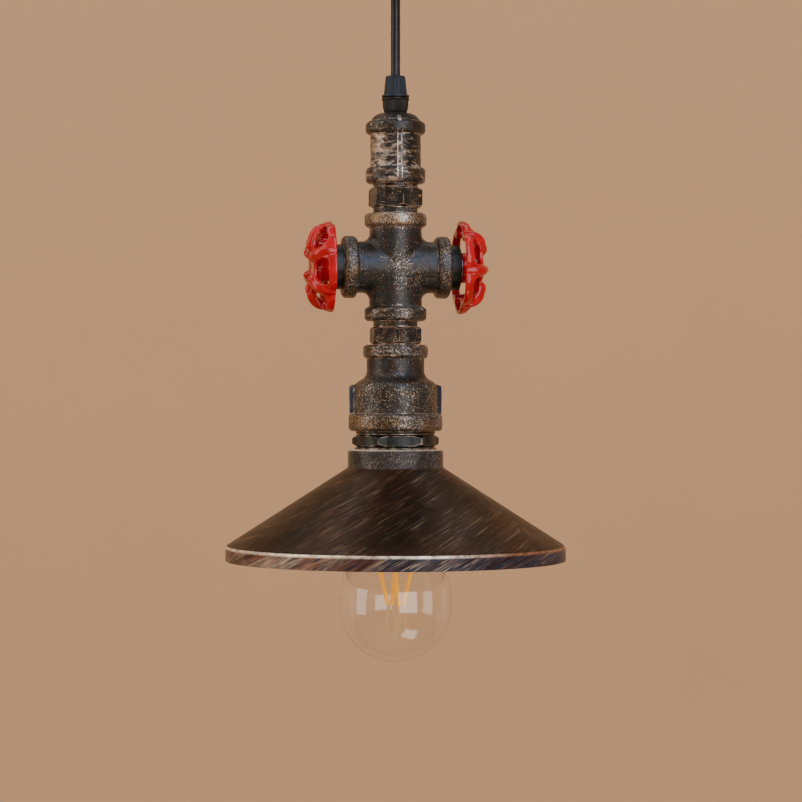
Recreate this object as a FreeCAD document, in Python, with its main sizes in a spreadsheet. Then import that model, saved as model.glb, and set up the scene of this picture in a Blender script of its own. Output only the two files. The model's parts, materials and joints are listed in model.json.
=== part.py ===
import FreeCAD, Part
import math
import os
import Sketcher
from FreeCAD import Placement, Rotation, Vector

# A pendant light built from pipe fittings, hung by its cord from a ceiling rose.
# The origin is the middle of the rose's mounting face, +Z is up and the two
# handwheels turn about the X axis. All lengths are millimetres, all angles degrees.

SIZES = {
    # Ceiling rose
    "canopy_radius": 50.0,
    "canopy_height": 25.0,
    "canopy_wall": 1.0,
    "canopy_edge_round": 7.0,
    "bar_width": 18.0,
    "bar_thickness": 1.5,
    "bar_ear_drop": 14.0,
    "bar_clearance": 0.3,
    "slot_spacing": 60.0,
    "slot_length": 10.0,
    "slot_width": 4.6,
    "side_screw_level": 9.0,
    "side_screw_radius": 2.0,
    "side_screw_length": 7.0,
    "side_screw_head_radius": 3.8,
    "side_screw_head_height": 2.2,
    "screw_clearance": 0.15,
    "terminal_width": 14.0,
    "terminal_depth": 20.0,
    "terminal_height": 12.0,
    "terminal_pitch": 10.0,
    "terminal_offset": 16.0,
    "terminal_tunnel_radius": 1.6,
    "terminal_tunnel_drop": 6.5,
    "terminal_screw_radius": 1.5,
    "terminal_screw_inset": 0.3,
    "wire_gap": 0.1,
    # Cord and its grip in the rose
    "cord_radius": 2.5,
    "cord_drop": 41.8,
    "cord_clearance": 0.1,
    "swing_clearance": 0.3,
    "grip_radius": 6.5,
    "grip_drop": 8.0,
    "grip_mouth_flare": 1.0,
    "grip_edge_round": 1.0,
    "grip_screw_drop": 2.5,
    "gland_thread_radius": 4.95,
    "thread_clearance": 0.05,
    "grip_neck_height": 9.0,
    "gland_nut_corner_radius": 8.1,
    "gland_nut_height": 3.0,
    "tail_stub": 1.5,
    "grub_screw_radius": 1.5,
    "grub_slot_width": 0.6,
    "grub_slot_depth": 0.8,
    "wire_radius": 1.1,
    "wire_offset": 1.25,
    "wire_bow": 4.0,
    "rose_wire_rise": 4.0,
    # Strain relief on top of the lamp
    "cap_height": 11.2,
    "cap_top_radius": 5.15,
    "cap_skirt_radius": 6.25,
    "cap_lip_radius": 7.3,
    "cap_lip_height": 0.9,
    "cap_shoulder_round": 1.1,
    "cap_rib_count": 24,
    "cap_rib_groove_radius": 0.45,
    "cap_rib_groove_stand": 0.1,
    "cap_roof": 2.2,
    "relief_gap": 0.7,
    "base_flange_height": 0.9,
    "base_knurl_height": 7.1,
    "base_top_radius": 6.75,
    "base_bottom_radius": 6.1,
    "base_neck_height": 5.0,
    "base_stem_length": 7.3,
    "grommet_radius": 3.7,
    "grommet_stand": 1.0,
    "grommet_nose": 1.2,
    "grommet_taper": 0.6,
    "grommet_fit": 0.02,
    "jacket_strip_depth": 12.0,
    # Pipe threads shared by the fittings
    "pipe_thread_radius": 10.4,
    "pipe_bore_radius": 7.6,
    "pipe_fit": 0.1,
    "neck_length": 12.0,
    "thread_runout": 1.0,
    "hex_corner_radius": 14.7,
    "hex_chamfer_inset": 0.3,
    "hex_chamfer_angle": 30.0,
    # Domed top socket
    "socket_height": 37.1,
    "socket_dome_radius": 6.4,
    "socket_dome_height": 3.9,
    "socket_body_radius": 13.4,
    "socket_band_radius": 15.85,
    "socket_top_band": 6.6,
    "socket_bottom_band": 8.3,
    "socket_band_inset": 0.6,
    "socket_dome_round": 8.0,
    "band_bevel": 1.2,
    "socket_crown": 2.8,
    "socket_thread_depth": 20.0,
    "socket_chamber_radius": 9.9,
    "socket_throat_radius": 8.5,
    "rib_width": 2.7,
    "rib_inset": 0.25,
    "rib_start": 1.6,
    # Nipples
    "nipple_collar_radius": 11.75,
    "upper_nipple_top_collar": 2.3,
    "upper_nipple_hex": 10.6,
    "upper_nipple_bottom_collar": 3.0,
    "lower_nipple_top_collar": 3.2,
    "lower_nipple_hex": 9.0,
    "lower_nipple_bottom_collar": 0.5,
    "upper_nipple_turn": 38.0,
    "lower_nipple_turn": 30.0,
    # Cross
    "cross_reach": 28.45,
    "cross_upright_radius": 13.9,
    "cross_arm_radius": 13.6,
    "cross_crotch_round": 4.2,
    "cross_band_radius": 16.45,
    "cross_band_height": 7.2,
    "cross_inner_radius": 9.8,
    # Plugs, axle screws and handwheels
    "plug_collar_radius": 11.9,
    "plug_collar_length": 5.5,
    "plug_edge_round": 0.6,
    "axle_thread_radius": 2.5,
    "axle_thread_length": 9.0,
    "axle_radius": 3.0,
    "running_fit": 0.05,
    "washer_thickness": 0.8,
    "washer_radius": 8.0,
    "wheel_play": 0.15,
    "axle_head_radius": 5.0,
    "axle_head_height": 2.8,
    "axle_head_round": 0.8,
    "axle_key_radius": 1.75,
    "axle_key_floor": 1.0,
    "wheel_radius": 24.9,
    "wheel_depth": 11.2,
    "wheel_wall": 2.0,
    "wheel_draft": 0.3,
    "wheel_edge": 0.8,
    "lobe_offset": 11.0,
    "lobe_lip_height": 2.5,
    "lobe_shoulder_round": 12.4,
    "lobe_face_radius": 4.0,
    "wheel_hub_radius": 8.0,
    "wheel_hub_length": 6.8,
    "spoke_count": 6,
    "spoke_radius": 2.7,
    "spoke_inset": 1.9,
    "spoke_hub_inset": 1.2,
    "spoke_top": 13.2,
    "spoke_sweep": 150.0,
    "spoke_ledge": 0.7,
    "knob_place": 11.8,
    "knob_length": 8.4,
    "knob_width": 5.0,
    "knob_depth": 7.0,
    "knob_top": 14.0,
    "window_floor": 3.8,
    "window_hub_gap": 4.3,
    "window_margin": 1.3,
    "window_corner_round": 3.0,
    "left_wheel_turn": 20.0,
    "right_wheel_turn": 7.5,
    # Reducing socket
    "reducer_top_band": 7.1,
    "reducer_top_radius": 17.25,
    "reducer_neck": 6.4,
    "reducer_neck_radius": 15.25,
    "reducer_shoulder": 10.6,
    "reducer_body_radius": 22.25,
    "reducer_body": 12.5,
    "reducer_bottom_band": 9.0,
    "reducer_bottom_radius": 24.9,
    "large_thread_radius": 16.6,
    "large_neck_length": 13.0,
    "large_thread_depth": 20.0,
    "reducer_chamber_radius": 14.6,
    "reducer_rib_lead": 3.0,
    # Hexagon bushing
    "bushing_ring_radius": 20.95,
    "bushing_ring_height": 1.7,
    "bushing_hex_radius": 23.15,
    "bushing_hex_height": 7.0,
    "bushing_foot_height": 0.8,
    "bushing_foot_radius": 21.5,
    "bushing_bore_radius": 14.2,
    "bushing_tail": 5.3,
    "bushing_turn": -2.0,
    # Shade
    "shade_height": 58.8,
    "shade_wall": 1.0,
    "shade_collar_radius": 25.3,
    "shade_collar_height": 9.8,
    "shade_collar_round": 2.0,
    "shade_rim_radius": 90.0,
    "shade_skirt_height": 7.5,
    "shade_corner_round": 3.0,
    "shade_nut_radius": 21.0,
    "shade_nut_height": 3.6,
    "shade_nut_turn": 10.0,
    # Lampholder
    "holder_neck_radius": 13.4,
    "holder_neck_height": 15.3,
    "holder_body_radius": 19.0,
    "holder_body_height": 32.0,
    "holder_edge_round": 1.5,
    "holder_roof": 2.0,
    "holder_chamber_radius": 10.5,
    "holder_floor": 3.0,
    "holder_chamber_height": 12.2,
    "holder_taper": 0.6,
    "holder_bore_radius": 14.6,
    "shell_radius": 14.4,
    "shell_wall": 0.6,
    "shell_height": 29.0,
    "shell_flange_radius": 8.5,
    "contact_radius": 5.0,
    "contact_thickness": 0.5,
    "rivet_radius": 1.6,
    "rivet_head_radius": 3.2,
    "rivet_head_height": 0.8,
    "tab_width": 3.0,
    "tab_thickness": 0.8,
    "tab_reach": 9.4,
    "tab_height": 9.0,
    "tab_slot_fit": 0.1,
    "tab_joint_drop": 1.5,
    "nipple_bore_radius": 3.6,
    "bridge_thickness": 1.8,
    "holder_nipple_stand": 1.0,
    # Bulb
    "bulb_length": 105.0,
    "bulb_radius": 30.0,
    "bulb_cove_radius": 20.7,
    "bulb_wall": 0.9,
    "bulb_contact_gap": 0.2,
    "bulb_cap_radius": 13.2,
    "bulb_cap_height": 26.4,
    "bulb_cap_wall": 0.5,
    "bulb_cap_slope": 1.5,
    "bulb_tip_radius": 4.8,
    "bulb_tip_height": 1.2,
    "bulb_insulator_height": 4.0,
    "bulb_insulator_radius": 11.0,
    "insulator_seat": 1.0,
    "insulator_rim": 0.6,
    "glass_fit": 0.1,
    "glass_neck_depth": 6.0,
    "stem_radius": 3.0,
    "stem_length": 17.0,
    "stem_foot_height": 1.0,
    "filament_radius": 1.1,
    "filament_length": 38.0,
    "filament_top_radius": 12.5,
    "filament_bottom_radius": 5.0,
    "filament_pair_gap": 1.4,
    "filament_top_drop": 0.5,
    "filament_turn": 118.0,
    "lead_radius": 0.35,
    "lead_depth": 2.0,
    "lead_inset": 1.5,
    "lead_seat": 0.6,
    "lead_clearance": 0.03,
}

os.makedirs("parts", exist_ok=True)
doc = FreeCAD.newDocument("PipePendant")
sheet = doc.addObject("Spreadsheet::Sheet", "Sizes")
for row, (word, number) in enumerate(SIZES.items(), start=1):
    sheet.set(f"A{row}", word)
    sheet.set(f"B{row}", str(number))
    sheet.setAlias(f"B{row}", word)
doc.recompute()


class Size:
    """A number kept together with the sheet formula that gives it."""

    def __init__(self, value, formula):
        self.value = float(value)
        self.formula = formula

    def __add__(self, other):
        other = as_size(other)
        return Size(self.value + other.value, f"({self.formula} + {other.formula})")

    def __sub__(self, other):
        other = as_size(other)
        return Size(self.value - other.value, f"({self.formula} - {other.formula})")

    def __mul__(self, other):
        other = as_size(other)
        return Size(self.value * other.value, f"({self.formula} * {other.formula})")

    def __truediv__(self, other):
        other = as_size(other)
        return Size(self.value / other.value, f"({self.formula} / {other.formula})")

    def __radd__(self, other):
        return as_size(other) + self

    def __rsub__(self, other):
        return as_size(other) - self

    def __rmul__(self, other):
        return as_size(other) * self

    def __rtruediv__(self, other):
        return as_size(other) / self

    def __neg__(self):
        return as_size(0.0) - self

    def root(self):
        return Size(math.sqrt(self.value), f"sqrt({self.formula})")


def as_size(number):
    """Give a plain number the same two readings as a size of the sheet."""
    if isinstance(number, Size):
        return number
    return Size(number, f"({number!r})")


class SizeTable:
    """The sheet's sizes by name, so that a formula reads as ordinary arithmetic."""

    def __getattr__(self, word):
        return Size(sheet.get(word), f"Sizes.{word}")


S = SizeTable()

# How far a cut runs on past the face that it opens.
OVERCUT = 1
# How deep a band or a rib runs into the wall that carries it.
ROOT = 1
# The part of a straight run that the bend at one of its ends takes up.
BEND_SHARE = 0.45
# Half the angle between neighbouring filaments.
EIGHTH_TURN = 45


def new_body(label):
    body = doc.addObject("PartDesign::Body", label)
    body.Label = label
    return body


def origin_feature(body, role):
    return [item for item in body.Origin.OriginFeatures if item.Role == role][0]


def place(body, x=0.0, y=0.0, z=0.0, rotation=Rotation()):
    """Put a body at a station of the stack, with each coordinate bound to the sheet."""
    body.Placement = Placement(Vector(), rotation)
    for letter, coordinate in (("x", x), ("y", y), ("z", z)):
        body.setExpression(f".Placement.Base.{letter}", as_size(coordinate).formula)


def arc_between(start, end, radius, bend):
    """The arc of a radius from start to end; bend is 1 for anticlockwise, -1 for clockwise."""
    chord = end - start
    half = chord.Length / 2
    offset = math.sqrt(max(radius * radius - half * half, 0.0))
    across = Vector(-chord.y, chord.x, 0).normalize() * bend
    middle = (start + end) / 2 + across * offset
    first, last = (start, end) if bend > 0 else (end, start)
    begin = math.atan2(first.y - middle.y, first.x - middle.x)
    finish = math.atan2(last.y - middle.y, last.x - middle.x)
    return Part.ArcOfCircle(Part.Circle(middle, Vector(0, 0, 1), radius), begin, finish)


def draw_outline(sketch, corners):
    """Draw a closed outline whose corners are bound to the sheet.

    A corner is (across, up), reached by a straight line, or (across, up, radius, bend),
    reached by an arc of that radius.
    """
    points = [Vector(as_size(c[0]).value, as_size(c[1]).value, 0) for c in corners]
    pieces = []
    ends = []
    for number, corner in enumerate(corners):
        start, end = points[number - 1], points[number]
        if len(corner) == 2:
            pieces.append(Part.LineSegment(start, end))
            ends.append((1, 2))
        else:
            pieces.append(arc_between(start, end, corner[2].value, corner[3]))
            ends.append((1, 2) if corner[3] > 0 else (2, 1))
    sketch.addGeometry(pieces, False)
    rules = []
    formulas = []
    for number, corner in enumerate(corners):
        following = (number + 1) % len(corners)
        here = (number, ends[number][1])
        rules.append(Sketcher.Constraint("Coincident", *here, following, ends[following][0]))
        for kind, axis, coordinate in (("DistanceX", -2, corner[0]), ("DistanceY", -1, corner[1])):
            coordinate = as_size(coordinate)
            if coordinate.value == 0.0:
                rules.append(Sketcher.Constraint("PointOnObject", *here, axis))
            else:
                formulas.append((len(rules), coordinate.formula))
                rules.append(Sketcher.Constraint(kind, *here, coordinate.value))
        if len(corner) == 4:
            formulas.append((len(rules), corner[2].formula))
            rules.append(Sketcher.Constraint("Radius", number, corner[2].value))
    sketch.addConstraint(rules)
    for index, formula in formulas:
        sketch.setExpression(f"Constraints[{index}]", formula)


def new_sketch(body, name, plane):
    sketch = body.newObject("Sketcher::SketchObject", name)
    sketch.AttachmentSupport = (origin_feature(body, plane), [""])
    sketch.MapMode = "FlatFace"
    return sketch


def turn(body, corners, kind="Revolution", lying=False):
    """Add (Revolution) or cut (Groove) the ring that an outline of (radius, height) sweeps.

    The ring turns about the body's upright axis, or about its X axis where it is lying.
    """
    name = f"{body.Label}_{kind}_{len(body.Group)}"
    sketch = new_sketch(body, f"{name}_outline", "XZ_Plane")
    if lying:
        corners = [(height, radius) for radius, height in corners]
    draw_outline(sketch, corners)
    ring = body.newObject(f"PartDesign::{kind}", name)
    ring.Profile = sketch
    ring.ReferenceAxis = (sketch, ["H_Axis" if lying else "V_Axis"])
    ring.Angle = 360
    sketch.Visibility = False
    return ring


def bore(body, radius, low, high):
    """Cut a round hole on the body's own axis from one height to another."""
    return turn(body, [(0, low), (radius, low), (radius, high), (0, high)], "Groove")


def block(body, kind, length, width, height, x=0.0, y=0.0, z=0.0, turned=0.0):
    """Add or subtract a box centred across on (x, y), standing on z, turned about the axis."""
    box = body.newObject(f"PartDesign::{kind}Box", f"{body.Label}_box_{len(body.Group)}")
    for side, size in (("Length", length), ("Width", width), ("Height", height)):
        box.setExpression(side, as_size(size).formula)
    box.Placement = Placement(Vector(), Rotation(Vector(0, 0, 1), turned))
    corner = {"x": as_size(x) - as_size(length) / 2, "y": as_size(y) - as_size(width) / 2, "z": z}
    for letter, coordinate in corner.items():
        box.setExpression(f".Placement.Base.{letter}", as_size(coordinate).formula)
    return box


def rod(body, kind, radius, length, start, rotation):
    """Add or subtract a cylinder that starts at a point and runs along its turned Z axis."""
    piece = body.newObject(f"PartDesign::{kind}Cylinder", f"{body.Label}_rod_{len(body.Group)}")
    piece.setExpression("Radius", as_size(radius).formula)
    piece.setExpression("Height", as_size(length).formula)
    piece.Placement = Placement(Vector(), rotation)
    for letter, coordinate in zip("xyz", start):
        piece.setExpression(f".Placement.Base.{letter}", as_size(coordinate).formula)
    return piece


ALONG_X = Rotation(Vector(0, 1, 0), 90)
AGAINST_X = Rotation(Vector(0, 1, 0), -90)
ALONG_Y = Rotation(Vector(1, 0, 0), -90)


def repeat(body, features, count):
    """Repeat features evenly about the body's axis and make the pattern its result."""
    pattern = body.newObject("PartDesign::PolarPattern", f"{body.Label}_pattern_{len(body.Group)}")
    pattern.Originals = features
    pattern.Axis = (origin_feature(body, "Z_Axis"), [""])
    pattern.Angle = 360
    pattern.setExpression("Occurrences", as_size(count).formula)
    body.Tip = pattern
    return pattern


def hexagon(body, corner_radius, low, height, turned):
    """Add a hexagon with its corners chamfered above and below, as on a nut."""
    prism = body.newObject("PartDesign::AdditivePrism", f"{body.Label}_hexagon")
    prism.Polygon = 6
    prism.setExpression("Circumradius", corner_radius.formula)
    prism.setExpression("Height", height.formula)
    prism.Placement = Placement(Vector(), Rotation(Vector(0, 0, 1), turned))
    prism.setExpression(".Placement.Base.z", as_size(low).formula)
    flat = corner_radius * (math.sqrt(3) / 2) - S.hex_chamfer_inset
    outside = corner_radius + OVERCUT
    slope = (outside - flat) * math.tan(math.radians(S.hex_chamfer_angle.value))
    high = low + height
    turn(body, [(flat, low), (outside, low + slope), (outside, low)], "Groove")
    turn(body, [(flat, high), (outside, high - slope), (outside, high)], "Groove")


def circles(feature, places):
    """Names of the feature's round edges at the given (radius, height) places."""
    names = []
    for number, edge in enumerate(feature.Shape.Edges, start=1):
        if not isinstance(edge.Curve, Part.Circle):
            continue
        for radius, height in places:
            centre = edge.Curve.Center
            same = abs(edge.Curve.Radius - radius.value) < 1e-3 and abs(centre.z - height.value) < 1e-3
            if same and math.hypot(centre.x, centre.y) < 1e-3:
                names.append(f"Edge{number}")
    return names


def round_circles(body, feature, places, radius):
    """Round the circles at the given (radius, height) places."""
    doc.recompute()
    fillet = body.newObject("PartDesign::Fillet", f"{body.Label}_round_{len(body.Group)}")
    fillet.Base = (feature, circles(feature, [(as_size(r), as_size(h)) for r, h in places]))
    fillet.setExpression("Radius", as_size(radius).formula)
    return fillet


def canopy():
    """Cup of the ceiling rose: a spun dish, open to the ceiling, with a hole for the grip."""
    body = new_body("ceiling_canopy")
    bottom = -S.canopy_height
    cup = turn(body, [(0, bottom), (S.canopy_radius, bottom), (S.canopy_radius, 0), (0, 0)])
    rounded = round_circles(body, cup, [(S.canopy_radius, bottom)], S.canopy_edge_round)
    doc.recompute()
    shell = body.newObject("PartDesign::Thickness", "ceiling_canopy_wall")
    top = [n for n, face in enumerate(rounded.Shape.Faces, 1) if face.CenterOfMass.z > -1e-6][0]
    shell.Base = (rounded, [f"Face{top}"])
    shell.setExpression("Value", S.canopy_wall.formula)
    shell.Reversed = True
    shell.Join = 0
    bore(body, S.gland_thread_radius + S.screw_clearance, bottom - OVERCUT,
         bottom + S.canopy_wall + OVERCUT)
    hole = S.side_screw_radius + S.screw_clearance
    reach = 2 * (S.canopy_radius + OVERCUT)
    rod(body, "Subtractive", hole, reach, (-reach / 2, 0, -S.side_screw_level), ALONG_X)
    place(body)
    return body


def mounting_bar():
    """Strap against the ceiling with two slots and an ear bent down at each end."""
    body = new_body("mounting_bar")
    reach = S.canopy_radius - S.canopy_wall - S.bar_clearance
    length = 2 * (reach * reach - S.bar_width * S.bar_width / 4).root()
    block(body, "Additive", length, S.bar_width, S.bar_thickness, z=-S.bar_thickness)
    ear = (length - S.bar_thickness) / 2
    for side in (-1, 1):
        block(body, "Additive", S.bar_thickness, S.bar_width, S.bar_ear_drop,
              x=side * ear, z=-S.bar_ear_drop)
        straight = S.slot_length - S.slot_width
        middle = side * S.slot_spacing / 2
        block(body, "Subtractive", straight, S.slot_width, S.bar_thickness + 2 * OVERCUT,
              x=middle, z=-S.bar_thickness - OVERCUT)
        for end in (-1, 1):
            rod(body, "Subtractive", S.slot_width / 2, S.bar_thickness + 2 * OVERCUT,
                (middle + end * straight / 2, 0, -S.bar_thickness - OVERCUT), Rotation())
    hole = S.side_screw_radius + S.thread_clearance
    rod(body, "Subtractive", hole, length + 2 * OVERCUT,
        (-length / 2 - OVERCUT, 0, -S.side_screw_level), ALONG_X)
    place(body)
    return body


def side_screw(label, side):
    """Domed screw through the canopy's wall into an ear of the bar."""
    body = new_body(label)
    head = S.side_screw_head_radius
    crown = S.side_screw_head_height
    dome = (head * head + crown * crown) / (2 * crown)
    turn(body, [(0, -S.side_screw_length), (S.side_screw_radius, -S.side_screw_length),
                (S.side_screw_radius, 0), (head, 0), (0, crown, dome, 1)])
    place(body, x=side * S.canopy_radius, z=-S.side_screw_level,
          rotation=ALONG_X if side > 0 else AGAINST_X)
    return body


rose_face = -S.canopy_height
pivot_level = rose_face - S.grip_drop
tail_foot = pivot_level + S.cord_radius + S.cord_clearance
tail_top = rose_face + S.grip_neck_height + S.tail_stub


def rose_grip():
    """Cord grip screwed into the canopy, its mouth flared round the cord's swing."""
    body = new_body("rose_grip")
    top = S.grip_drop + S.grip_neck_height
    thread = S.gland_thread_radius
    outer = turn(body, [(0, 0), (S.grip_radius, 0), (S.grip_radius, S.grip_drop),
                        (thread, S.grip_drop), (thread, top), (0, top)])
    round_circles(body, outer, [(S.grip_radius, 0)], S.grip_edge_round)
    bore(body, S.cord_radius + S.cord_clearance, 0, top)
    loose = S.cord_radius + S.swing_clearance
    ledge = S.cord_radius + S.cord_clearance
    turn(body, [(0, 0), (loose + S.grip_mouth_flare, 0), (loose, S.grip_mouth_flare),
                (loose, ledge), (0, ledge)], "Groove")
    rod(body, "Subtractive", S.grub_screw_radius + S.thread_clearance, S.grip_radius + OVERCUT,
        (0, 0, S.grip_drop - S.grip_screw_drop), ALONG_Y)
    place(body, z=pivot_level)
    return body


def grub_screw():
    """Slotted screw in the side of the grip that pinches the cord."""
    body = new_body("rose_grip_screw")
    length = S.grip_radius - S.cord_radius - S.cord_clearance
    turn(body, [(0, 0), (S.grub_screw_radius, 0), (S.grub_screw_radius, length), (0, length)])
    block(body, "Subtractive", 2 * (S.grub_screw_radius + OVERCUT), S.grub_slot_width,
          S.grub_slot_depth + OVERCUT, z=length - S.grub_slot_depth)
    place(body, y=S.cord_radius + S.cord_clearance, z=pivot_level + S.grip_drop - S.grip_screw_drop,
          rotation=ALONG_Y)
    return body


def gland_nut(label, level):
    """Thin hexagon nut on a gland's thread; level is its lower face."""
    body = new_body(label)
    hexagon(body, S.gland_nut_corner_radius, as_size(0), S.gland_nut_height, 0)
    bore(body, S.gland_thread_radius + S.thread_clearance, -OVERCUT, S.gland_nut_height + OVERCUT)
    place(body, z=level)
    return body


def cord_tail():
    """The fixed end of the cord, from the swing point up through the grip."""
    body = new_body("cord_in_rose")
    turn(body, [(0, 0), (S.cord_radius, 0), (S.cord_radius, tail_top - tail_foot),
                (0, tail_top - tail_foot)])
    place(body, z=tail_foot)
    return body


def terminal_block():
    """Two-way connector under the bar, with a wire tunnel and a screw well for each way."""
    body = new_body("terminal_block")
    low = -S.bar_thickness - S.terminal_height
    middle = -S.terminal_offset
    block(body, "Additive", S.terminal_width, S.terminal_depth, S.terminal_height, x=middle, z=low)
    for side in (-1, 1):
        across = side * S.terminal_pitch / 2
        rod(body, "Subtractive", S.terminal_tunnel_radius, S.terminal_width + 2 * OVERCUT,
            (middle - S.terminal_width / 2 - OVERCUT, across, -S.bar_thickness - S.terminal_tunnel_drop),
            ALONG_X)
        rod(body, "Subtractive", S.terminal_screw_radius + S.screw_clearance,
            S.terminal_height - S.terminal_tunnel_drop + OVERCUT, (middle, across, low - OVERCUT),
            Rotation())
    place(body)
    return body


relief_top = pivot_level - S.cord_drop
cap_foot = relief_top - S.cap_height
base_top = cap_foot - S.relief_gap
socket_top = base_top - S.base_flange_height - S.base_knurl_height


def free_cord():
    """The swinging stretch of cord, its upper end a half ball about the swing point."""
    body = new_body("cord")
    turn(body, [(0, -S.cord_drop), (S.cord_radius, -S.cord_drop), (S.cord_radius, 0),
                (0, S.cord_radius, S.cord_radius, 1)])
    place(body, z=pivot_level)
    return body


def relief_cap():
    """Ribbed compression cap, narrow at the top, with a thin lip round its mouth."""
    body = new_body("strain_relief_cap")
    lip = S.cap_lip_height
    outer = turn(body, [(0, 0), (S.cap_lip_radius, 0), (S.cap_lip_radius, lip),
                        (S.cap_skirt_radius, lip), (S.cap_top_radius, S.cap_height),
                        (0, S.cap_height)])
    rounded = round_circles(body, outer, [(S.cap_top_radius, S.cap_height)], S.cap_shoulder_round)
    groove = body.newObject("PartDesign::SubtractiveCylinder", "strain_relief_cap_rib_groove")
    groove.setExpression("Radius", S.cap_rib_groove_radius.formula)
    groove.setExpression("Height", S.cap_height.formula)
    lean = math.degrees(math.atan2((S.cap_skirt_radius - S.cap_top_radius).value,
                                   (S.cap_height - lip).value))
    groove.Placement = Placement(Vector(), Rotation(Vector(0, 1, 0), -lean))
    groove.setExpression(".Placement.Base.x", (S.cap_skirt_radius + S.cap_rib_groove_stand).formula)
    groove.setExpression(".Placement.Base.z", lip.formula)
    repeat(body, [groove], S.cap_rib_count)
    inside = S.gland_thread_radius - S.thread_clearance
    throat = S.grommet_radius - S.cap_rib_groove_radius
    roof = S.cap_height - S.cap_roof
    turn(body, [(0, -OVERCUT), (inside, -OVERCUT), (inside, S.base_neck_height + S.relief_gap),
                (throat, roof), (0, roof)], "Groove")
    bore(body, S.cord_radius + S.cord_clearance, roof - OVERCUT, S.cap_height + OVERCUT)
    place(body, z=cap_foot)
    return body


def relief_base():
    """Knurled lower half of the strain relief: a neck up into the cap, a stem into the dome."""
    body = new_body("strain_relief_base")
    flange = S.base_flange_height
    foot = -flange - S.base_knurl_height
    neck = S.gland_thread_radius - 2 * S.thread_clearance
    stem = S.gland_thread_radius
    turn(body, [(0, S.base_neck_height), (0, foot - S.base_stem_length),
                (stem, foot - S.base_stem_length), (stem, foot), (S.base_bottom_radius, foot),
                (S.base_top_radius, -flange), (S.cap_lip_radius, -flange), (S.cap_lip_radius, 0),
                (neck, 0), (neck, S.base_neck_height)])
    bore(body, S.cord_radius + S.cord_clearance, foot - S.base_stem_length - OVERCUT, 0)
    bore(body, S.grommet_radius + S.thread_clearance, -flange, S.base_neck_height + OVERCUT)
    place(body, z=base_top)
    return body


def relief_grommet():
    """Rubber sleeve that the cap squeezes on to the cord."""
    body = new_body("strain_relief_grommet")
    low = -S.base_flange_height
    high = S.base_neck_height + S.grommet_stand
    tip = high + S.grommet_nose
    turn(body, [(0, low), (S.grommet_radius, low), (S.grommet_radius, high),
                (S.grommet_radius - S.grommet_taper, tip), (0, tip)])
    bore(body, S.cord_radius + S.grommet_fit, low - OVERCUT, tip + OVERCUT)
    place(body, z=base_top)
    return body


jacket_end = socket_top - S.jacket_strip_depth


def cord_in_lamp():
    """The cord's jacketed end, held by the strain relief and stripped inside the top socket."""
    body = new_body("cord_in_lamp")
    length = relief_top - jacket_end
    turn(body, [(0, 0), (S.cord_radius, 0), (S.cord_radius, length), (0, length)])
    place(body, z=jacket_end)
    return body


def bevelled_band(body, radius, core, top, height, lying=False):
    """A raised band round a fitting, its two edges bevelled; top is its upper face."""
    slope = S.band_bevel
    turn(body, [(core - ROOT, top), (radius - slope, top), (radius, top - slope),
                (radius, top - height + slope), (radius - slope, top - height),
                (core - ROOT, top - height)], lying=lying)


def long_ribs(body, radius, inner, top, foot, turned):
    """Two square cast ribs along a fitting, one on each side of its axis."""
    half = S.rib_width / 2
    for angle in (turned, turned + 180):
        across = math.cos(math.radians(angle))
        along = math.sin(math.radians(angle))
        rib = body.newObject("PartDesign::AdditiveBox", f"{body.Label}_rib_{angle}")
        rib.setExpression("Length", S.rib_width.formula)
        rib.setExpression("Width", (radius - inner).formula)
        rib.setExpression("Height", (top - foot).formula)
        rib.Placement = Placement(Vector(), Rotation(Vector(0, 0, 1), angle))
        rib.setExpression(".Placement.Base.x", (-half * across - inner * along).formula)
        rib.setExpression(".Placement.Base.y", (-half * along + inner * across).formula)
        rib.setExpression(".Placement.Base.z", as_size(foot).formula)


def top_socket():
    """Malleable socket with a domed crown, two bevelled bands and a rib on each side."""
    body = new_body("top_socket")
    foot = -S.socket_height
    turn(body, [(0, foot), (S.socket_body_radius, foot),
                (S.socket_body_radius, -S.socket_dome_height),
                (S.socket_dome_radius, 0, S.socket_dome_round, 1), (0, 0)])
    bevelled_band(body, S.socket_band_radius, S.socket_body_radius,
                  -S.socket_dome_height - S.socket_band_inset, S.socket_top_band)
    bevelled_band(body, S.socket_band_radius, S.socket_body_radius,
                  foot + S.socket_bottom_band, S.socket_bottom_band)
    long_ribs(body, S.socket_band_radius - S.rib_inset, S.socket_chamber_radius + ROOT,
              -S.rib_start, foot + S.band_bevel, 0)
    turn(body, [(0, foot - OVERCUT), (S.pipe_thread_radius, foot - OVERCUT),
                (S.pipe_thread_radius, foot + S.socket_thread_depth),
                (S.socket_chamber_radius, foot + S.socket_thread_depth),
                (S.socket_chamber_radius, -S.socket_crown - S.socket_dome_height),
                (S.socket_throat_radius, -S.socket_crown), (0, -S.socket_crown)], "Groove")
    bore(body, S.gland_thread_radius + S.screw_clearance, -S.socket_crown - OVERCUT, OVERCUT)
    place(body, z=socket_top)
    return body


neck_radius = S.pipe_thread_radius - S.pipe_fit
upper_nipple_top = socket_top - S.socket_height
cross_top = (upper_nipple_top - S.upper_nipple_top_collar - S.upper_nipple_hex
             - S.upper_nipple_bottom_collar)
cross_centre = cross_top - S.cross_reach
lower_nipple_top = cross_centre - S.cross_reach
reducer_top = (lower_nipple_top - S.lower_nipple_top_collar - S.lower_nipple_hex
               - S.lower_nipple_bottom_collar)


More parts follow.
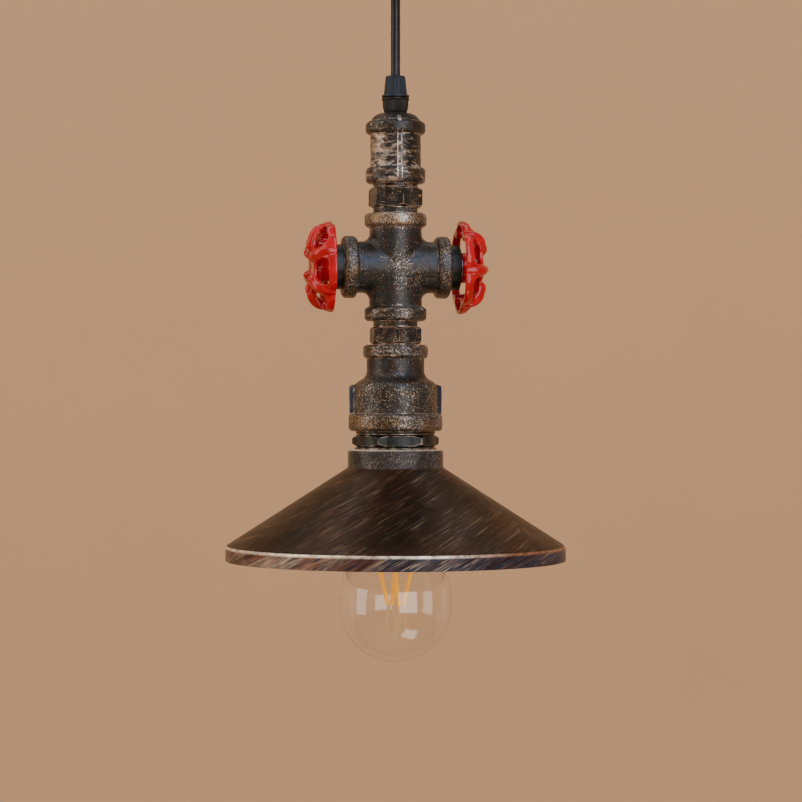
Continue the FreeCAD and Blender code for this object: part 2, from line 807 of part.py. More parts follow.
def hex_nipple(label, level, top_collar, hexagon_height, bottom_collar, turned):
    """Hexagon nipple: a threaded neck each way, a round collar above and below the hexagon."""
    body = new_body(label)
    foot = -top_collar - hexagon_height - bottom_collar
    collar = S.nipple_collar_radius
    turn(body, [(0, foot - S.neck_length), (neck_radius, foot - S.neck_length),
                (neck_radius, foot), (collar, foot), (collar, 0), (neck_radius, 0),
                (neck_radius, S.neck_length), (0, S.neck_length)])
    hexagon(body, S.hex_corner_radius, -top_collar - hexagon_height, hexagon_height, turned)
    bore(body, S.pipe_bore_radius, foot - S.neck_length - OVERCUT, S.neck_length + OVERCUT)
    place(body, z=level)
    return body


def cross_fitting():
    """Malleable cross: four banded arms whose crotches are rounded into one another."""
    body = new_body("cross_fitting")
    reach = S.cross_reach
    rod(body, "Additive", S.cross_upright_radius, 2 * reach, (0, 0, -reach), Rotation())
    arms = rod(body, "Additive", S.cross_arm_radius, 2 * reach, (-reach, 0, 0), ALONG_X)
    doc.recompute()
    crotch = [f"Edge{number}" for number, edge in enumerate(arms.Shape.Edges, start=1)
              if not isinstance(edge.Curve, (Part.Circle, Part.Line))]
    rounded = body.newObject("PartDesign::Fillet", "cross_fitting_crotches")
    rounded.Base = (arms, crotch)
    rounded.setExpression("Radius", S.cross_crotch_round.formula)
    band = S.cross_band_height
    for top in (reach, band - reach):
        bevelled_band(body, S.cross_band_radius, S.cross_upright_radius, top, band)
        bevelled_band(body, S.cross_band_radius, S.cross_arm_radius, top, band, lying=True)
    thread_end = reach - S.neck_length - S.thread_runout
    for lying in (False, True):
        turn(body, [(0, -reach), (S.cross_inner_radius, -reach),
                    (S.cross_inner_radius, reach), (0, reach)], "Groove", lying)
        for end in (-1, 1):
            mouth = end * (reach + OVERCUT)
            turn(body, [(0, mouth), (S.pipe_thread_radius, mouth),
                        (S.pipe_thread_radius, end * thread_end), (0, end * thread_end)],
                 "Groove", lying)
    place(body, z=cross_centre)
    return body


def side_place(body, side, along, turned=0.0):
    """Stand a piece's own axis along X, on the left (-1) or right (1) arm of the cross."""
    facing = ALONG_X if side > 0 else AGAINST_X
    spin = Rotation(Vector(0, 0, 1), turned)
    place(body, x=side * along, z=cross_centre, rotation=facing.multiply(spin))


plug_face = S.cross_reach + S.plug_collar_length


def side_plug(label, side):
    """Black plug screwed into an arm of the cross, drilled for the wheel's axle screw."""
    body = new_body(label)
    collar = S.plug_collar_radius
    outer = turn(body, [(0, -S.neck_length), (neck_radius, -S.neck_length), (neck_radius, 0),
                        (collar, 0), (collar, S.plug_collar_length), (0, S.plug_collar_length)])
    round_circles(body, outer, [(collar, S.plug_collar_length)], S.plug_edge_round)
    bore(body, S.axle_thread_radius + S.thread_clearance,
         S.plug_collar_length - S.axle_thread_length - S.thread_runout,
         S.plug_collar_length + OVERCUT)
    side_place(body, side, S.cross_reach)
    return body


hub_foot = S.washer_thickness + S.wheel_play
hub_seat = hub_foot + S.wheel_hub_length


def axle_screw(label, side):
    """Shoulder screw that the handwheel turns on, its round head sunk in the hub."""
    body = new_body(label)
    shoulder = hub_seat + S.wheel_play
    top = shoulder + S.axle_head_height
    outer = turn(body, [(0, -S.axle_thread_length), (S.axle_thread_radius, -S.axle_thread_length),
                        (S.axle_thread_radius, 0), (S.axle_radius, 0), (S.axle_radius, shoulder),
                        (S.axle_head_radius, shoulder), (S.axle_head_radius, top), (0, top)])
    round_circles(body, outer, [(S.axle_head_radius, top)], S.axle_head_round)
    key = body.newObject("PartDesign::SubtractivePrism", f"{label}_key")
    key.Polygon = 6
    key.setExpression("Circumradius", S.axle_key_radius.formula)
    key.setExpression("Height", S.axle_head_height.formula)
    key.setExpression(".Placement.Base.z", (shoulder + S.axle_key_floor).formula)
    side_place(body, side, plug_face)
    return body


def thrust_washer(label, side):
    """Washer between the plug's face and the wheel's hub."""
    body = new_body(label)
    turn(body, [(S.axle_radius + S.screw_clearance, 0), (S.washer_radius, 0),
                (S.washer_radius, S.washer_thickness),
                (S.axle_radius + S.screw_clearance, S.washer_thickness)])
    side_place(body, side, plug_face)
    return body


def turn_beside(body, aside, corners, kind):
    """Add or cut what an outline of (radius, height) sweeps about an upright line.

    The line crosses the body's X axis at the distance aside.
    """
    name = f"{body.Label}_{kind}_{len(body.Group)}"
    sketch = new_sketch(body, f"{name}_outline", "XZ_Plane")
    draw_outline(sketch, [(aside + corner[0], *corner[1:]) for corner in corners])
    top = max(as_size(corner[1]).value for corner in corners)
    line = sketch.addGeometry(
        Part.LineSegment(Vector(aside.value, 0, 0), Vector(aside.value, top, 0)), True)
    sketch.addConstraint([Sketcher.Constraint("Vertical", line),
                          Sketcher.Constraint("PointOnObject", line, 1, -1),
                          Sketcher.Constraint("DistanceY", line, 1, line, 2, top)])
    index = sketch.addConstraint(Sketcher.Constraint("DistanceX", line, 1, aside.value))
    sketch.setExpression(f"Constraints[{index}]", aside.formula)
    ring = body.newObject(f"PartDesign::{kind}", name)
    ring.Profile = sketch
    ring.ReferenceAxis = (sketch, ["Axis0"])
    ring.Angle = 360
    sketch.Visibility = False
    return ring


def window_outline(across, inner_round, outer_round, corner_round):
    """The outline of one window of a handwheel, a triangle with rounded corners.

    It lies on the X axis between two spokes. Its flanks run beside them at the distance
    across, its outer side is round about the lobe's own centre.
    """
    half_step = math.pi / S.spoke_count.value
    cosine, sine = math.cos(half_step), math.sin(half_step)

    def off_spoke(along, aside):
        """Turn distances along and aside from a spoke into the wheel's own X and Y."""
        return along * cosine + aside * sine, along * sine - aside * cosine

    centre = S.lobe_offset * cosine, S.lobe_offset * sine
    reach = outer_round - corner_round
    drop = centre[1] - across - corner_round
    corner = centre[0] + (reach * reach - drop * drop).root(), across + corner_round
    growth = outer_round / reach
    inner_end = off_spoke((across + inner_round) * (cosine / sine), across)
    flank_end = off_spoke(corner[0], across)
    outer_end = off_spoke(centre[0] + (corner[0] - centre[0]) * growth,
                          centre[1] + (corner[1] - centre[1]) * growth)
    upper = [outer_end, flank_end, inner_end]
    lower = [(x, -y) for x, y in reversed(upper)]
    return [(*lower[0], inner_round, 1), lower[1], (*lower[2], corner_round, 1),
            (*upper[0], outer_round, 1), (*upper[1], corner_round, 1), upper[2]]


def handwheel(label, side, turned):
    """Cast handwheel: a deep dish of six lobes, a window in each, and a spoke between them.

    Each lobe is an outline turned about its own centre line, hollowed from behind. A spoke
    is a round bar that climbs the dish in the rim's corner, then bends over in a ring arc and
    down into the hub. It carries a long knob near the hub, which lies lower.
    """
    body = new_body(label)
    wall = S.wheel_wall
    crown = S.wheel_depth
    lobe = S.wheel_radius - S.lobe_offset
    outer_round = S.lobe_shoulder_round
    lip = S.lobe_lip_height
    face = S.lobe_face_radius
    dome = turn_beside(body, S.lobe_offset,
                       [(0, 0), (lobe - S.wheel_draft, 0), (lobe, S.wheel_edge),
                        (lobe - S.wheel_draft, lip), (face, crown, outer_round, 1), (0, crown)],
                       "Revolution")
    repeat(body, [dome], S.spoke_count)
    hollow = turn_beside(body, S.lobe_offset,
                         [(0, -OVERCUT), (lobe - S.wheel_draft - wall, -OVERCUT),
                          (lobe - S.wheel_draft - wall, lip),
                          (face, crown - wall, outer_round - wall, 1), (0, crown - wall)],
                         "Groove")
    repeat(body, [hollow], S.spoke_count)
    hub = S.wheel_hub_radius
    turn(body, [(S.axle_radius, hub_foot), (hub, hub_foot), (hub, crown), (S.axle_radius, crown)])
    across = S.spoke_radius + S.spoke_ledge
    inner_round = hub + S.window_hub_gap - across * 2
    sketch = new_sketch(body, f"{label}_window_outline", "XY_Plane")
    sketch.setExpression(".AttachmentOffset.Base.z", S.window_floor.formula)
    draw_outline(sketch, window_outline(across, inner_round, lobe - S.window_margin,
                                        S.window_corner_round))
    window = body.newObject("PartDesign::Pocket", f"{label}_window")
    window.Profile = sketch
    window.Type = "ThroughAll"
    window.Reversed = True
    repeat(body, [window], S.spoke_count)
    foot = S.wheel_radius - S.spoke_inset - S.spoke_radius
    arch = (foot - hub + S.spoke_hub_inset) / 2
    level = S.spoke_top - S.spoke_radius - arch
    half_step = math.degrees(math.pi / S.spoke_count.value)
    aim = Rotation(Vector(0, 0, 1), half_step)
    cosine, sine = math.cos(math.radians(half_step)), math.sin(math.radians(half_step))
    column = rod(body, "Additive", S.spoke_radius, level, (foot * cosine, foot * sine, 0),
                 Rotation())
    repeat(body, [column], S.spoke_count)
    bend = body.newObject("PartDesign::AdditiveTorus", f"{label}_spoke")
    bend.setExpression("Radius1", arch.formula)
    bend.setExpression("Radius2", S.spoke_radius.formula)
    bend.setExpression("Angle3", S.spoke_sweep.formula)
    bend.Placement = Placement(Vector(), aim.multiply(Rotation(Vector(1, 0, 0), 90)))
    crest = foot - arch
    for letter, coordinate in (("x", crest * cosine), ("y", crest * sine), ("z", level)):
        bend.setExpression(f".Placement.Base.{letter}", coordinate.formula)
    repeat(body, [bend], S.spoke_count)
    knob = body.newObject("PartDesign::AdditiveEllipsoid", f"{label}_knob")
    for word, size in (("Radius1", S.knob_depth), ("Radius2", S.knob_length),
                       ("Radius3", S.knob_width)):
        knob.setExpression(word, (size / 2).formula)
    knob.Placement = Placement(Vector(), aim)
    middle = S.knob_top - S.knob_depth / 2
    for letter, coordinate in (("x", S.knob_place * cosine), ("y", S.knob_place * sine),
                               ("z", middle)):
        knob.setExpression(f".Placement.Base.{letter}", coordinate.formula)
    repeat(body, [knob], S.spoke_count)
    bore(body, S.axle_radius + S.running_fit, hub_foot - OVERCUT, crown + OVERCUT)
    bore(body, S.axle_head_radius + S.swing_clearance, hub_seat, S.knob_top + OVERCUT)
    side_place(body, side, plug_face, turned)
    return body


reducer_foot = (reducer_top - S.reducer_top_band - S.reducer_neck - S.reducer_shoulder
                - S.reducer_body - S.reducer_bottom_band)


def reducer_socket():
    """Reducing socket: a small banded end, an ogee shoulder and a wide ribbed skirt."""
    body = new_body("reducer_socket")
    foot = reducer_foot - reducer_top
    neck_end = -S.reducer_top_band - S.reducer_neck
    shoulder_end = neck_end - S.reducer_shoulder
    wide = S.reducer_body_radius
    slim = S.reducer_neck_radius
    step = (wide - slim) / 2
    drop = S.reducer_shoulder / 2
    ogee = (step * step + drop * drop) / (2 * step)
    turn(body, [(0, foot), (wide, foot), (wide, shoulder_end),
                (wide - step, shoulder_end + drop, ogee, 1), (slim, neck_end, ogee, -1),
                (slim, 0), (0, 0)])
    bevelled_band(body, S.reducer_top_radius, slim, as_size(0), S.reducer_top_band)
    bevelled_band(body, S.reducer_bottom_radius, wide, foot + S.reducer_bottom_band,
                  S.reducer_bottom_band)
    long_ribs(body, S.reducer_bottom_radius - S.rib_inset, S.large_thread_radius + ROOT,
              shoulder_end + S.reducer_rib_lead, foot + S.reducer_bottom_band / 2, 90)
    mouth = foot + S.large_thread_depth
    thread_end = -S.neck_length - S.thread_runout
    turn(body, [(0, OVERCUT), (S.pipe_thread_radius, OVERCUT), (S.pipe_thread_radius, thread_end),
                (S.cross_inner_radius, thread_end), (S.cross_inner_radius, neck_end),
                (S.reducer_chamber_radius, shoulder_end), (S.reducer_chamber_radius, mouth),
                (S.large_thread_radius, mouth), (S.large_thread_radius, foot - OVERCUT),
                (0, foot - OVERCUT)], "Groove")
    place(body, z=reducer_top)
    return body


hexagon_foot = reducer_foot - S.bushing_ring_height - S.bushing_hex_height
shade_top = hexagon_foot - S.bushing_foot_height
bushing_foot = shade_top - S.bushing_tail
large_neck_radius = S.large_thread_radius - S.pipe_fit


def hex_bushing():
    """Hexagon bushing between the reducer and the shade, threaded above and below."""
    body = new_body("hex_bushing")
    low = bushing_foot - reducer_foot
    ring = -S.bushing_ring_height
    hexagon_low = ring - S.bushing_hex_height
    seat = hexagon_low - S.bushing_foot_height
    turn(body, [(0, low), (large_neck_radius, low), (large_neck_radius, seat),
                (S.bushing_foot_radius, seat), (S.bushing_foot_radius, hexagon_low),
                (S.bushing_ring_radius, ring), (S.bushing_ring_radius, 0),
                (large_neck_radius, 0), (large_neck_radius, S.large_neck_length),
                (0, S.large_neck_length)])
    hexagon(body, S.bushing_hex_radius, hexagon_low, S.bushing_hex_height,
            S.bushing_turn.value)
    bore(body, S.bushing_bore_radius, low - OVERCUT, S.large_neck_length + OVERCUT)
    place(body, z=reducer_foot)
    return body


def shade():
    """Spun shade: a flat-topped collar, a shallow cone and a short upright skirt."""
    body = new_body("shade")
    foot = -S.shade_height
    rim = S.shade_rim_radius
    collar = S.shade_collar_radius
    skirt = foot + S.shade_skirt_height
    waist = -S.shade_collar_height
    solid = turn(body, [(0, foot), (rim, foot), (rim, skirt), (collar, waist), (collar, 0),
                        (0, 0)])
    rounded = round_circles(body, solid, [(collar, 0), (collar, waist)], S.shade_collar_round)
    rounded = round_circles(body, rounded, [(rim, skirt)], S.shade_corner_round)
    doc.recompute()
    shell = body.newObject("PartDesign::Thickness", "shade_wall")
    faces = rounded.Shape.Faces
    mouth = [n for n, face in enumerate(faces, 1) if face.BoundBox.ZMax < foot.value + 1e-3][0]
    shell.Base = (rounded, [f"Face{mouth}"])
    shell.setExpression("Value", S.shade_wall.formula)
    shell.Reversed = True
    shell.Join = 0
    bore(body, S.large_thread_radius, -S.shade_wall - OVERCUT, OVERCUT)
    place(body, z=shade_top)
    return body


def shade_nut():
    """Hexagon ring nut that clamps the shade's top against the bushing."""
    body = new_body("shade_nut")
    hexagon(body, S.shade_nut_radius, as_size(0), S.shade_nut_height, S.shade_nut_turn.value)
    bore(body, S.large_thread_radius, -OVERCUT, S.shade_nut_height + OVERCUT)
    place(body, z=shade_top - S.shade_wall - S.shade_nut_height)
    return body


holder_top = bushing_foot + S.holder_neck_height
floor_top = holder_top - S.holder_roof - S.holder_chamber_height
floor_foot = floor_top - S.holder_floor
holder_foot = bushing_foot - S.holder_body_height


def lampholder():
    """Moulded lampholder: a slim wiring chamber above, the wide socket for the shell below."""
    body = new_body("lampholder")
    foot = holder_foot - holder_top
    shoulder = -S.holder_neck_height
    wide = S.holder_body_radius
    outer = turn(body, [(0, foot), (wide - S.holder_taper, foot), (wide, shoulder),
                        (S.holder_neck_radius, shoulder), (S.holder_neck_radius, 0), (0, 0)])
    rounded = round_circles(body, outer, [(wide, shoulder)], S.holder_edge_round)
    chamber = floor_top - holder_top
    seat = floor_foot - holder_top
    bore(body, S.holder_bore_radius, foot - OVERCUT, seat)
    bore(body, S.holder_chamber_radius, chamber, -S.holder_roof)
    bore(body, S.gland_thread_radius + S.thread_clearance, -S.holder_roof - OVERCUT, OVERCUT)
    bore(body, S.rivet_radius + S.thread_clearance, seat - OVERCUT, chamber + OVERCUT)
    block(body, "Subtractive", S.tab_width + 2 * S.tab_slot_fit,
          S.tab_thickness + 2 * S.tab_slot_fit, S.holder_floor + 2 * OVERCUT,
          y=S.tab_reach, z=seat - OVERCUT)
    place(body, z=holder_top)
    return body


def lampholder_shell():
    """Screw shell of the lampholder, with an inward flange and the tab that feeds it."""
    body = new_body("lampholder_shell")
    inner = S.shell_radius - S.shell_wall
    turn(body, [(S.shell_flange_radius, -S.shell_wall), (inner, -S.shell_wall),
                (inner, -S.shell_height), (S.shell_radius, -S.shell_height),
                (S.shell_radius, 0), (S.shell_flange_radius, 0)])
    block(body, "Additive", S.tab_width, S.tab_thickness, S.tab_height + S.shell_wall,
          y=S.tab_reach, z=-S.shell_wall)
    place(body, z=floor_foot)
    return body


def centre_contact():
    """Contact disc under the holder's floor, riveted through it to a flat head."""
    body = new_body("centre_contact")
    head = S.holder_floor + S.rivet_head_height
    turn(body, [(0, -S.contact_thickness), (S.contact_radius, -S.contact_thickness),
                (S.contact_radius, 0), (S.rivet_radius, 0), (S.rivet_radius, S.holder_floor),
                (S.rivet_head_radius, S.holder_floor), (S.rivet_head_radius, head), (0, head)])
    place(body, z=floor_foot)
    return body


bridge_foot = reducer_foot + S.large_neck_length
bridge_top = bridge_foot + S.bridge_thickness
holder_nut_top = bridge_top + S.gland_nut_height


def holder_bridge():
    """Washer across the bushing's neck that the lampholder's nipple hangs from."""
    body = new_body("holder_bridge")
    hole = S.gland_thread_radius + S.thread_clearance
    edge = large_neck_radius - S.pipe_fit
    turn(body, [(hole, 0), (edge, 0), (edge, S.bridge_thickness), (hole, S.bridge_thickness)])
    place(body, z=bridge_foot)
    return body


def holder_nipple():
    """Hollow threaded nipple from the lampholder's roof up through the bridge and its nut."""
    body = new_body("holder_nipple")
    foot = holder_top - S.holder_roof
    length = holder_nut_top + S.holder_nipple_stand - foot
    turn(body, [(S.nipple_bore_radius, 0), (S.gland_thread_radius, 0),
                (S.gland_thread_radius, length), (S.nipple_bore_radius, length)])
    place(body, z=foot)
    return body


bulb_tip = floor_foot - S.contact_thickness - S.bulb_contact_gap


def bulb_cap():
    """Metal screw cap of the bulb, with an inward flange round the insulator."""
    body = new_body("bulb_cap")
    top = -S.bulb_tip_height - S.bulb_insulator_height
    inner = S.bulb_cap_radius - S.bulb_cap_wall
    foot = -S.bulb_cap_height
    slope = S.bulb_cap_slope
    hole = S.bulb_insulator_radius - S.insulator_seat
    under = top - S.bulb_cap_wall
    turn(body, [(hole, top), (hole, under), (inner - slope, under), (inner, under - slope),
                (inner, foot), (S.bulb_cap_radius, foot), (S.bulb_cap_radius, top - slope),
                (S.bulb_cap_radius - slope, top)])
    place(body, z=bulb_tip)
    return body


def bulb_insulator():
    """Cone of black glass between the bulb's cap and its tip contact."""
    body = new_body("bulb_insulator")
    top = -S.bulb_tip_height
    foot = top - S.bulb_insulator_height
    turn(body, [(0, foot), (S.bulb_insulator_radius, foot), (S.bulb_tip_radius + S.insulator_rim, top),
                (0, top)])
    place(body, z=bulb_tip)
    return body


def bulb_tip_contact():
    """Solder button at the end of the bulb's cap."""
    body = new_body("bulb_tip")
    edge = S.bulb_tip_radius
    drop = S.bulb_tip_height
    dome = (edge * edge + drop * drop) / (2 * drop)
    turn(body, [(0, -drop), (edge, -drop), (0, 0, dome, 1)])
    place(body, z=bulb_tip)
    return body


def bulb_glass():
    """Clear pear-shaped envelope of even wall: a ball, a long shoulder and a tight neck.

    Outside, the shoulder's arc leaves the ball upright and meets the neck's cove at one
    slope, where the tangent of half that slope is the drop in radius over the height left.
    """
    body = new_body("bulb_glass")
    ball = S.bulb_radius
    wall = S.bulb_wall
    centre = ball - S.bulb_length
    neck = S.bulb_cap_radius
    neck_level = -S.bulb_cap_height
    half_tangent = (ball - neck) / (neck_level - centre)
    bottom = 1 + half_tangent * half_tangent
    rise = 2 * half_tangent / bottom
    run = (1 - half_tangent * half_tangent) / bottom
    cove = S.bulb_cove_radius
    shoulder = (neck_level - centre) / rise - cove
    meet = ball - shoulder * (1 - run)
    meet_level = centre + shoulder * rise
    stub = neck - S.bulb_cap_wall - S.glass_fit
    stub_top = neck_level + S.glass_neck_depth
    turn(body, [(0, -S.bulb_length), (ball, centre, ball, 1),
                (meet, meet_level, shoulder, 1), (neck, neck_level, cove, -1),
                (stub, neck_level), (stub, stub_top), (stub - wall, stub_top),
                (neck - wall, neck_level),
                (meet - wall * run, meet_level - wall * rise, cove + wall, 1),
                (ball - wall, centre, shoulder - wall, -1),
                (0, wall - S.bulb_length, ball - wall, -1)])
    place(body, z=bulb_tip)
    return body


stem_foot = -S.bulb_cap_height + S.glass_neck_depth - S.stem_length


def glass_stem():
    """Flared glass stem that closes the neck and carries the filament wires."""
    body = new_body("glass_stem")
    flare = S.bulb_cap_radius - S.bulb_cap_wall - S.bulb_wall - 2 * S.glass_fit
    top = -S.bulb_cap_height + S.glass_neck_depth
    curve = flare - S.stem_radius
    brim = top - S.stem_foot_height
    turn(body, [(0, stem_foot), (S.stem_radius, stem_foot), (S.stem_radius, brim - curve),
                (flare, brim, curve, -1), (flare, top), (0, top)])
    for ends in pairs:
        start, end = wire_room(*lead_line(ends))
        rod(body, "Subtractive", S.lead_radius + S.lead_clearance, 2 * S.stem_radius, start,
            Rotation(Vector(0, 0, 1), end - start))
    place(body, z=bulb_tip)
    return body


def polar(radius, angle, height):
    """The point at a radius and angle about the axis."""
    turned = math.radians(angle)
    return Vector(radius * math.cos(turned), radius * math.sin(turned), height)


def free_rod(label, start, end, radius, length=None):
    """A plain round rod between two points of the bulb, its radius bound to the sheet."""
    piece = doc.addObject("Part::Cylinder", label)
    piece.Label = label
    piece.setExpression("Radius", radius.formula)
    if length:
        piece.setExpression("Height", length.formula)
    else:
        piece.Height = (end - start).Length
    level = Vector(0, 0, bulb_tip.value)
    piece.Placement = Placement(start + level, Rotation(Vector(0, 0, 1), end - start))
    return piece


def filament_ends():
    """The four filaments, each as its (lower, upper) point, in two V-shaped pairs.

    The upper ends stand evenly round the axis. A pair's lower ends lie close together, on
    the line that halves the angle between its upper ends.
    """
    top = (stem_foot - S.filament_top_drop).value
    ends = []
    for pair in (S.filament_turn.value, S.filament_turn.value + 180):
        for side in (-1, 1):
            lower = (polar(S.filament_bottom_radius.value, pair, top)
                     + polar(side * S.filament_pair_gap.value, pair + 90, 0))
            upper = polar(S.filament_top_radius.value, pair + side * EIGHTH_TURN, top)
            reach = (upper - lower).Length
            lower.z -= math.sqrt(S.filament_length.value ** 2 - reach ** 2)
            ends.append((lower, upper))
    return ends


def seat(near, far):
    """The point on a filament's axis where a wire is let in, just short of one end."""
    return near + (far - near).normalize() * S.lead_seat.value


def lead_line(ends):
    """The ends of the wire from inside the glass stem out to a filament's upper end."""
    lower, upper = ends
    inside = Vector(upper.x, upper.y, 0).normalize() * (S.stem_radius - S.lead_inset).value
    return inside + Vector(0, 0, (stem_foot + S.lead_depth).value), seat(upper, lower)


def link_line(first, second):
    """The ends of the wire that joins the lower ends of a pair."""
    return seat(*first), seat(*second)


def wire_room(start, end):
    """A wire's line, drawn out at both ends by the clearance that its hole has."""
    spare = (end - start).normalize() * S.lead_clearance.value
    return start - spare, end + spare


def filament(number, ends, wires):
    """One coated filament rod, with a hole near each end for the wire let into it."""
    piece = free_rod(f"filament_{number}_rod", *ends, S.filament_radius, S.filament_length)
    for hole, line in enumerate(wires, start=1):
        drilled = doc.addObject("Part::Cut", f"filament_{number}_drilled_{hole}")
        drilled.Base = piece
        drilled.Tool = free_rod(f"filament_{number}_hole_{hole}", *wire_room(*line),
                                S.lead_radius + S.lead_clearance)
        piece = drilled
    piece.Label = f"filament_{number}"
    return piece


def tube_along(points, radius):
    """A round wire along straight runs joined by tangent arcs as large as the runs allow."""
    edges = []
    bends = []
    start = points[0]
    for before, corner, after in zip(points, points[1:], points[2:]):
        inward, outward = corner - before, after - corner
        half_turn = inward.getAngle(outward) / 2
        reach = BEND_SHARE * min(inward.Length, outward.Length)
        bend = reach / math.tan(half_turn)
        bends.append(round(bend, 1))
        first = corner - inward.normalize() * reach
        last = corner + outward.normalize() * reach
        toward = (last - corner) + (first - corner)
        middle = corner + toward.normalize() * (bend / math.cos(half_turn) - bend)
        edges.append(Part.makeLine(start, first))
        edges.append(Part.Arc(first, middle, last).toShape())
        start = last
    edges.append(Part.makeLine(start, points[-1]))
    path = Part.Wire(edges)
    ring = Part.Wire(Part.Circle(points[0], points[1] - points[0], radius).toShape())
    tube = path.makePipeShell([ring], True, False)
    expected = math.pi * radius ** 2 * path.Length
    print(f"wire length {path.Length:.1f}, volume {tube.Volume:.1f} of {expected:.1f}, "
          f"bend radii {bends}")
    return tube


def wire(label, points):
    """A node for one insulated core along its route."""
    node = doc.addObject("Part::Feature", label)
    node.Label = label
    node.Shape = tube_along(points, S.wire_radius.value)
    node.Placement = Placement()
    return node


def lamp_wire(label, side):
    """Insulated core from the stripped cord down the pipe to the lampholder."""
    across = side * S.wire_offset.value
    bow = side * S.wire_bow.value
    top = jacket_end.value
    crossing = cross_centre.value
    half = S.cross_reach.value
    nipple_top = (holder_nut_top + S.holder_nipple_stand).value
    points = [Vector(0, across, top), Vector(0, across, (top + crossing + half) / 2),
              Vector(0, bow, crossing + half / 2), Vector(0, bow, crossing - half),
              Vector(0, across, (crossing - half + nipple_top) / 2)]
    if side < 0:
        points.append(Vector(0, across, (floor_top + S.rivet_head_height).value))
    else:
        tab_face = (S.tab_reach - S.tab_thickness / 2).value
        level = (floor_foot + S.tab_height - S.tab_joint_drop).value
        points.append(Vector(0, across, level))
        points.append(Vector(0, tab_face, level))
    return wire(label, points)


def rose_wire(label, side):
    """Insulated core from the cord's fixed end round into the terminal block."""
    across = side * S.wire_offset.value
    lane = side * S.terminal_pitch.value / 2
    top = tail_top.value
    tunnel = -(S.bar_thickness + S.terminal_tunnel_drop).value
    face = -(S.terminal_offset - S.terminal_width / 2).value
    past_screw = -(S.terminal_offset + S.terminal_screw_radius).value
    return wire(label, [Vector(0, across, top), Vector(0, across, top + S.rose_wire_rise.value),
                        Vector(face / 2, lane, tunnel), Vector(past_screw, lane, tunnel)])


def terminal_screw(label, side):
    """Clamp screw standing in its well of the terminal block, down to the wire."""
    body = new_body(label)
    length = (S.terminal_height - S.terminal_tunnel_drop - S.wire_radius
              - S.terminal_screw_inset - S.wire_gap)
    turn(body, [(0, 0), (S.terminal_screw_radius, 0), (S.terminal_screw_radius, length),
                (0, length)])
    place(body, x=-S.terminal_offset, y=side * S.terminal_pitch / 2,
          z=-S.bar_thickness - S.terminal_height + S.terminal_screw_inset)
    return body


pairs = filament_ends()
nodes = [
    canopy(), mounting_bar(), side_screw("left_rose_screw", -1), side_screw("right_rose_screw", 1),
    rose_grip(), gland_nut("rose_grip_nut", rose_face + S.canopy_wall), grub_screw(), cord_tail(),
    terminal_block(), terminal_screw("live_terminal_screw", -1),
    terminal_screw("neutral_terminal_screw", 1), rose_wire("rose_live_wire", -1),
    rose_wire("rose_neutral_wire", 1),
    free_cord(), relief_cap(), relief_base(), relief_grommet(),
    gland_nut("strain_relief_nut", socket_top - S.socket_crown - S.gland_nut_height),
    cord_in_lamp(), top_socket(),
    hex_nipple("upper_nipple", upper_nipple_top, S.upper_nipple_top_collar, S.upper_nipple_hex,
               S.upper_nipple_bottom_collar, S.upper_nipple_turn.value),
    cross_fitting(),
    side_plug("left_plug", -1), side_plug("right_plug", 1),
    thrust_washer("left_wheel_washer", -1), thrust_washer("right_wheel_washer", 1),
    axle_screw("left_wheel_screw", -1), axle_screw("right_wheel_screw", 1),
    handwheel("left_handwheel", -1, S.left_wheel_turn.value),
    handwheel("right_handwheel", 1, S.right_wheel_turn.value),
    hex_nipple("lower_nipple", lower_nipple_top, S.lower_nipple_top_collar, S.lower_nipple_hex,
               S.lower_nipple_bottom_collar, S.lower_nipple_turn.value),
    reducer_socket(), hex_bushing(), shade(), shade_nut(),
    lampholder(), lampholder_shell(), centre_contact(), holder_bridge(), holder_nipple(),
    gland_nut("holder_nut", bridge_top),
    lamp_wire("live_wire", -1), lamp_wire("neutral_wire", 1),
    bulb_cap(), bulb_insulator(), bulb_tip_contact(), bulb_glass(), glass_stem(),
]
for number, couple in enumerate((pairs[:2], pairs[2:]), start=1):
    link = link_line(*couple)
    nodes.append(free_rod(f"filament_link_{number}", *link, S.lead_radius))
    for side, ends in enumerate(couple, start=2 * number - 1):
        lead = lead_line(ends)
        nodes.append(free_rod(f"filament_lead_{side}", *lead, S.lead_radius))
        nodes.append(filament(side, ends, [lead, link]))
doc.recompute()
for item in doc.Objects:
    if "Invalid" in item.State or "Error" in item.State:
        raise RuntimeError(f"{item.Name} failed: {item.State}")
for node in nodes:
    shape = node.Shape
    if shape.isNull() or not shape.isValid():
        raise RuntimeError(f"{node.Label} has no valid shape")
    shape.exportStep(f"parts/{node.Label}.step")
    box = shape.BoundBox
    print(f"{node.Label}: {len(shape.Solids)} solid, {shape.Volume:.0f} cubic mm, "
          f"z {box.ZMin:.1f} to {box.ZMax:.1f}")
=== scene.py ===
import json
import math

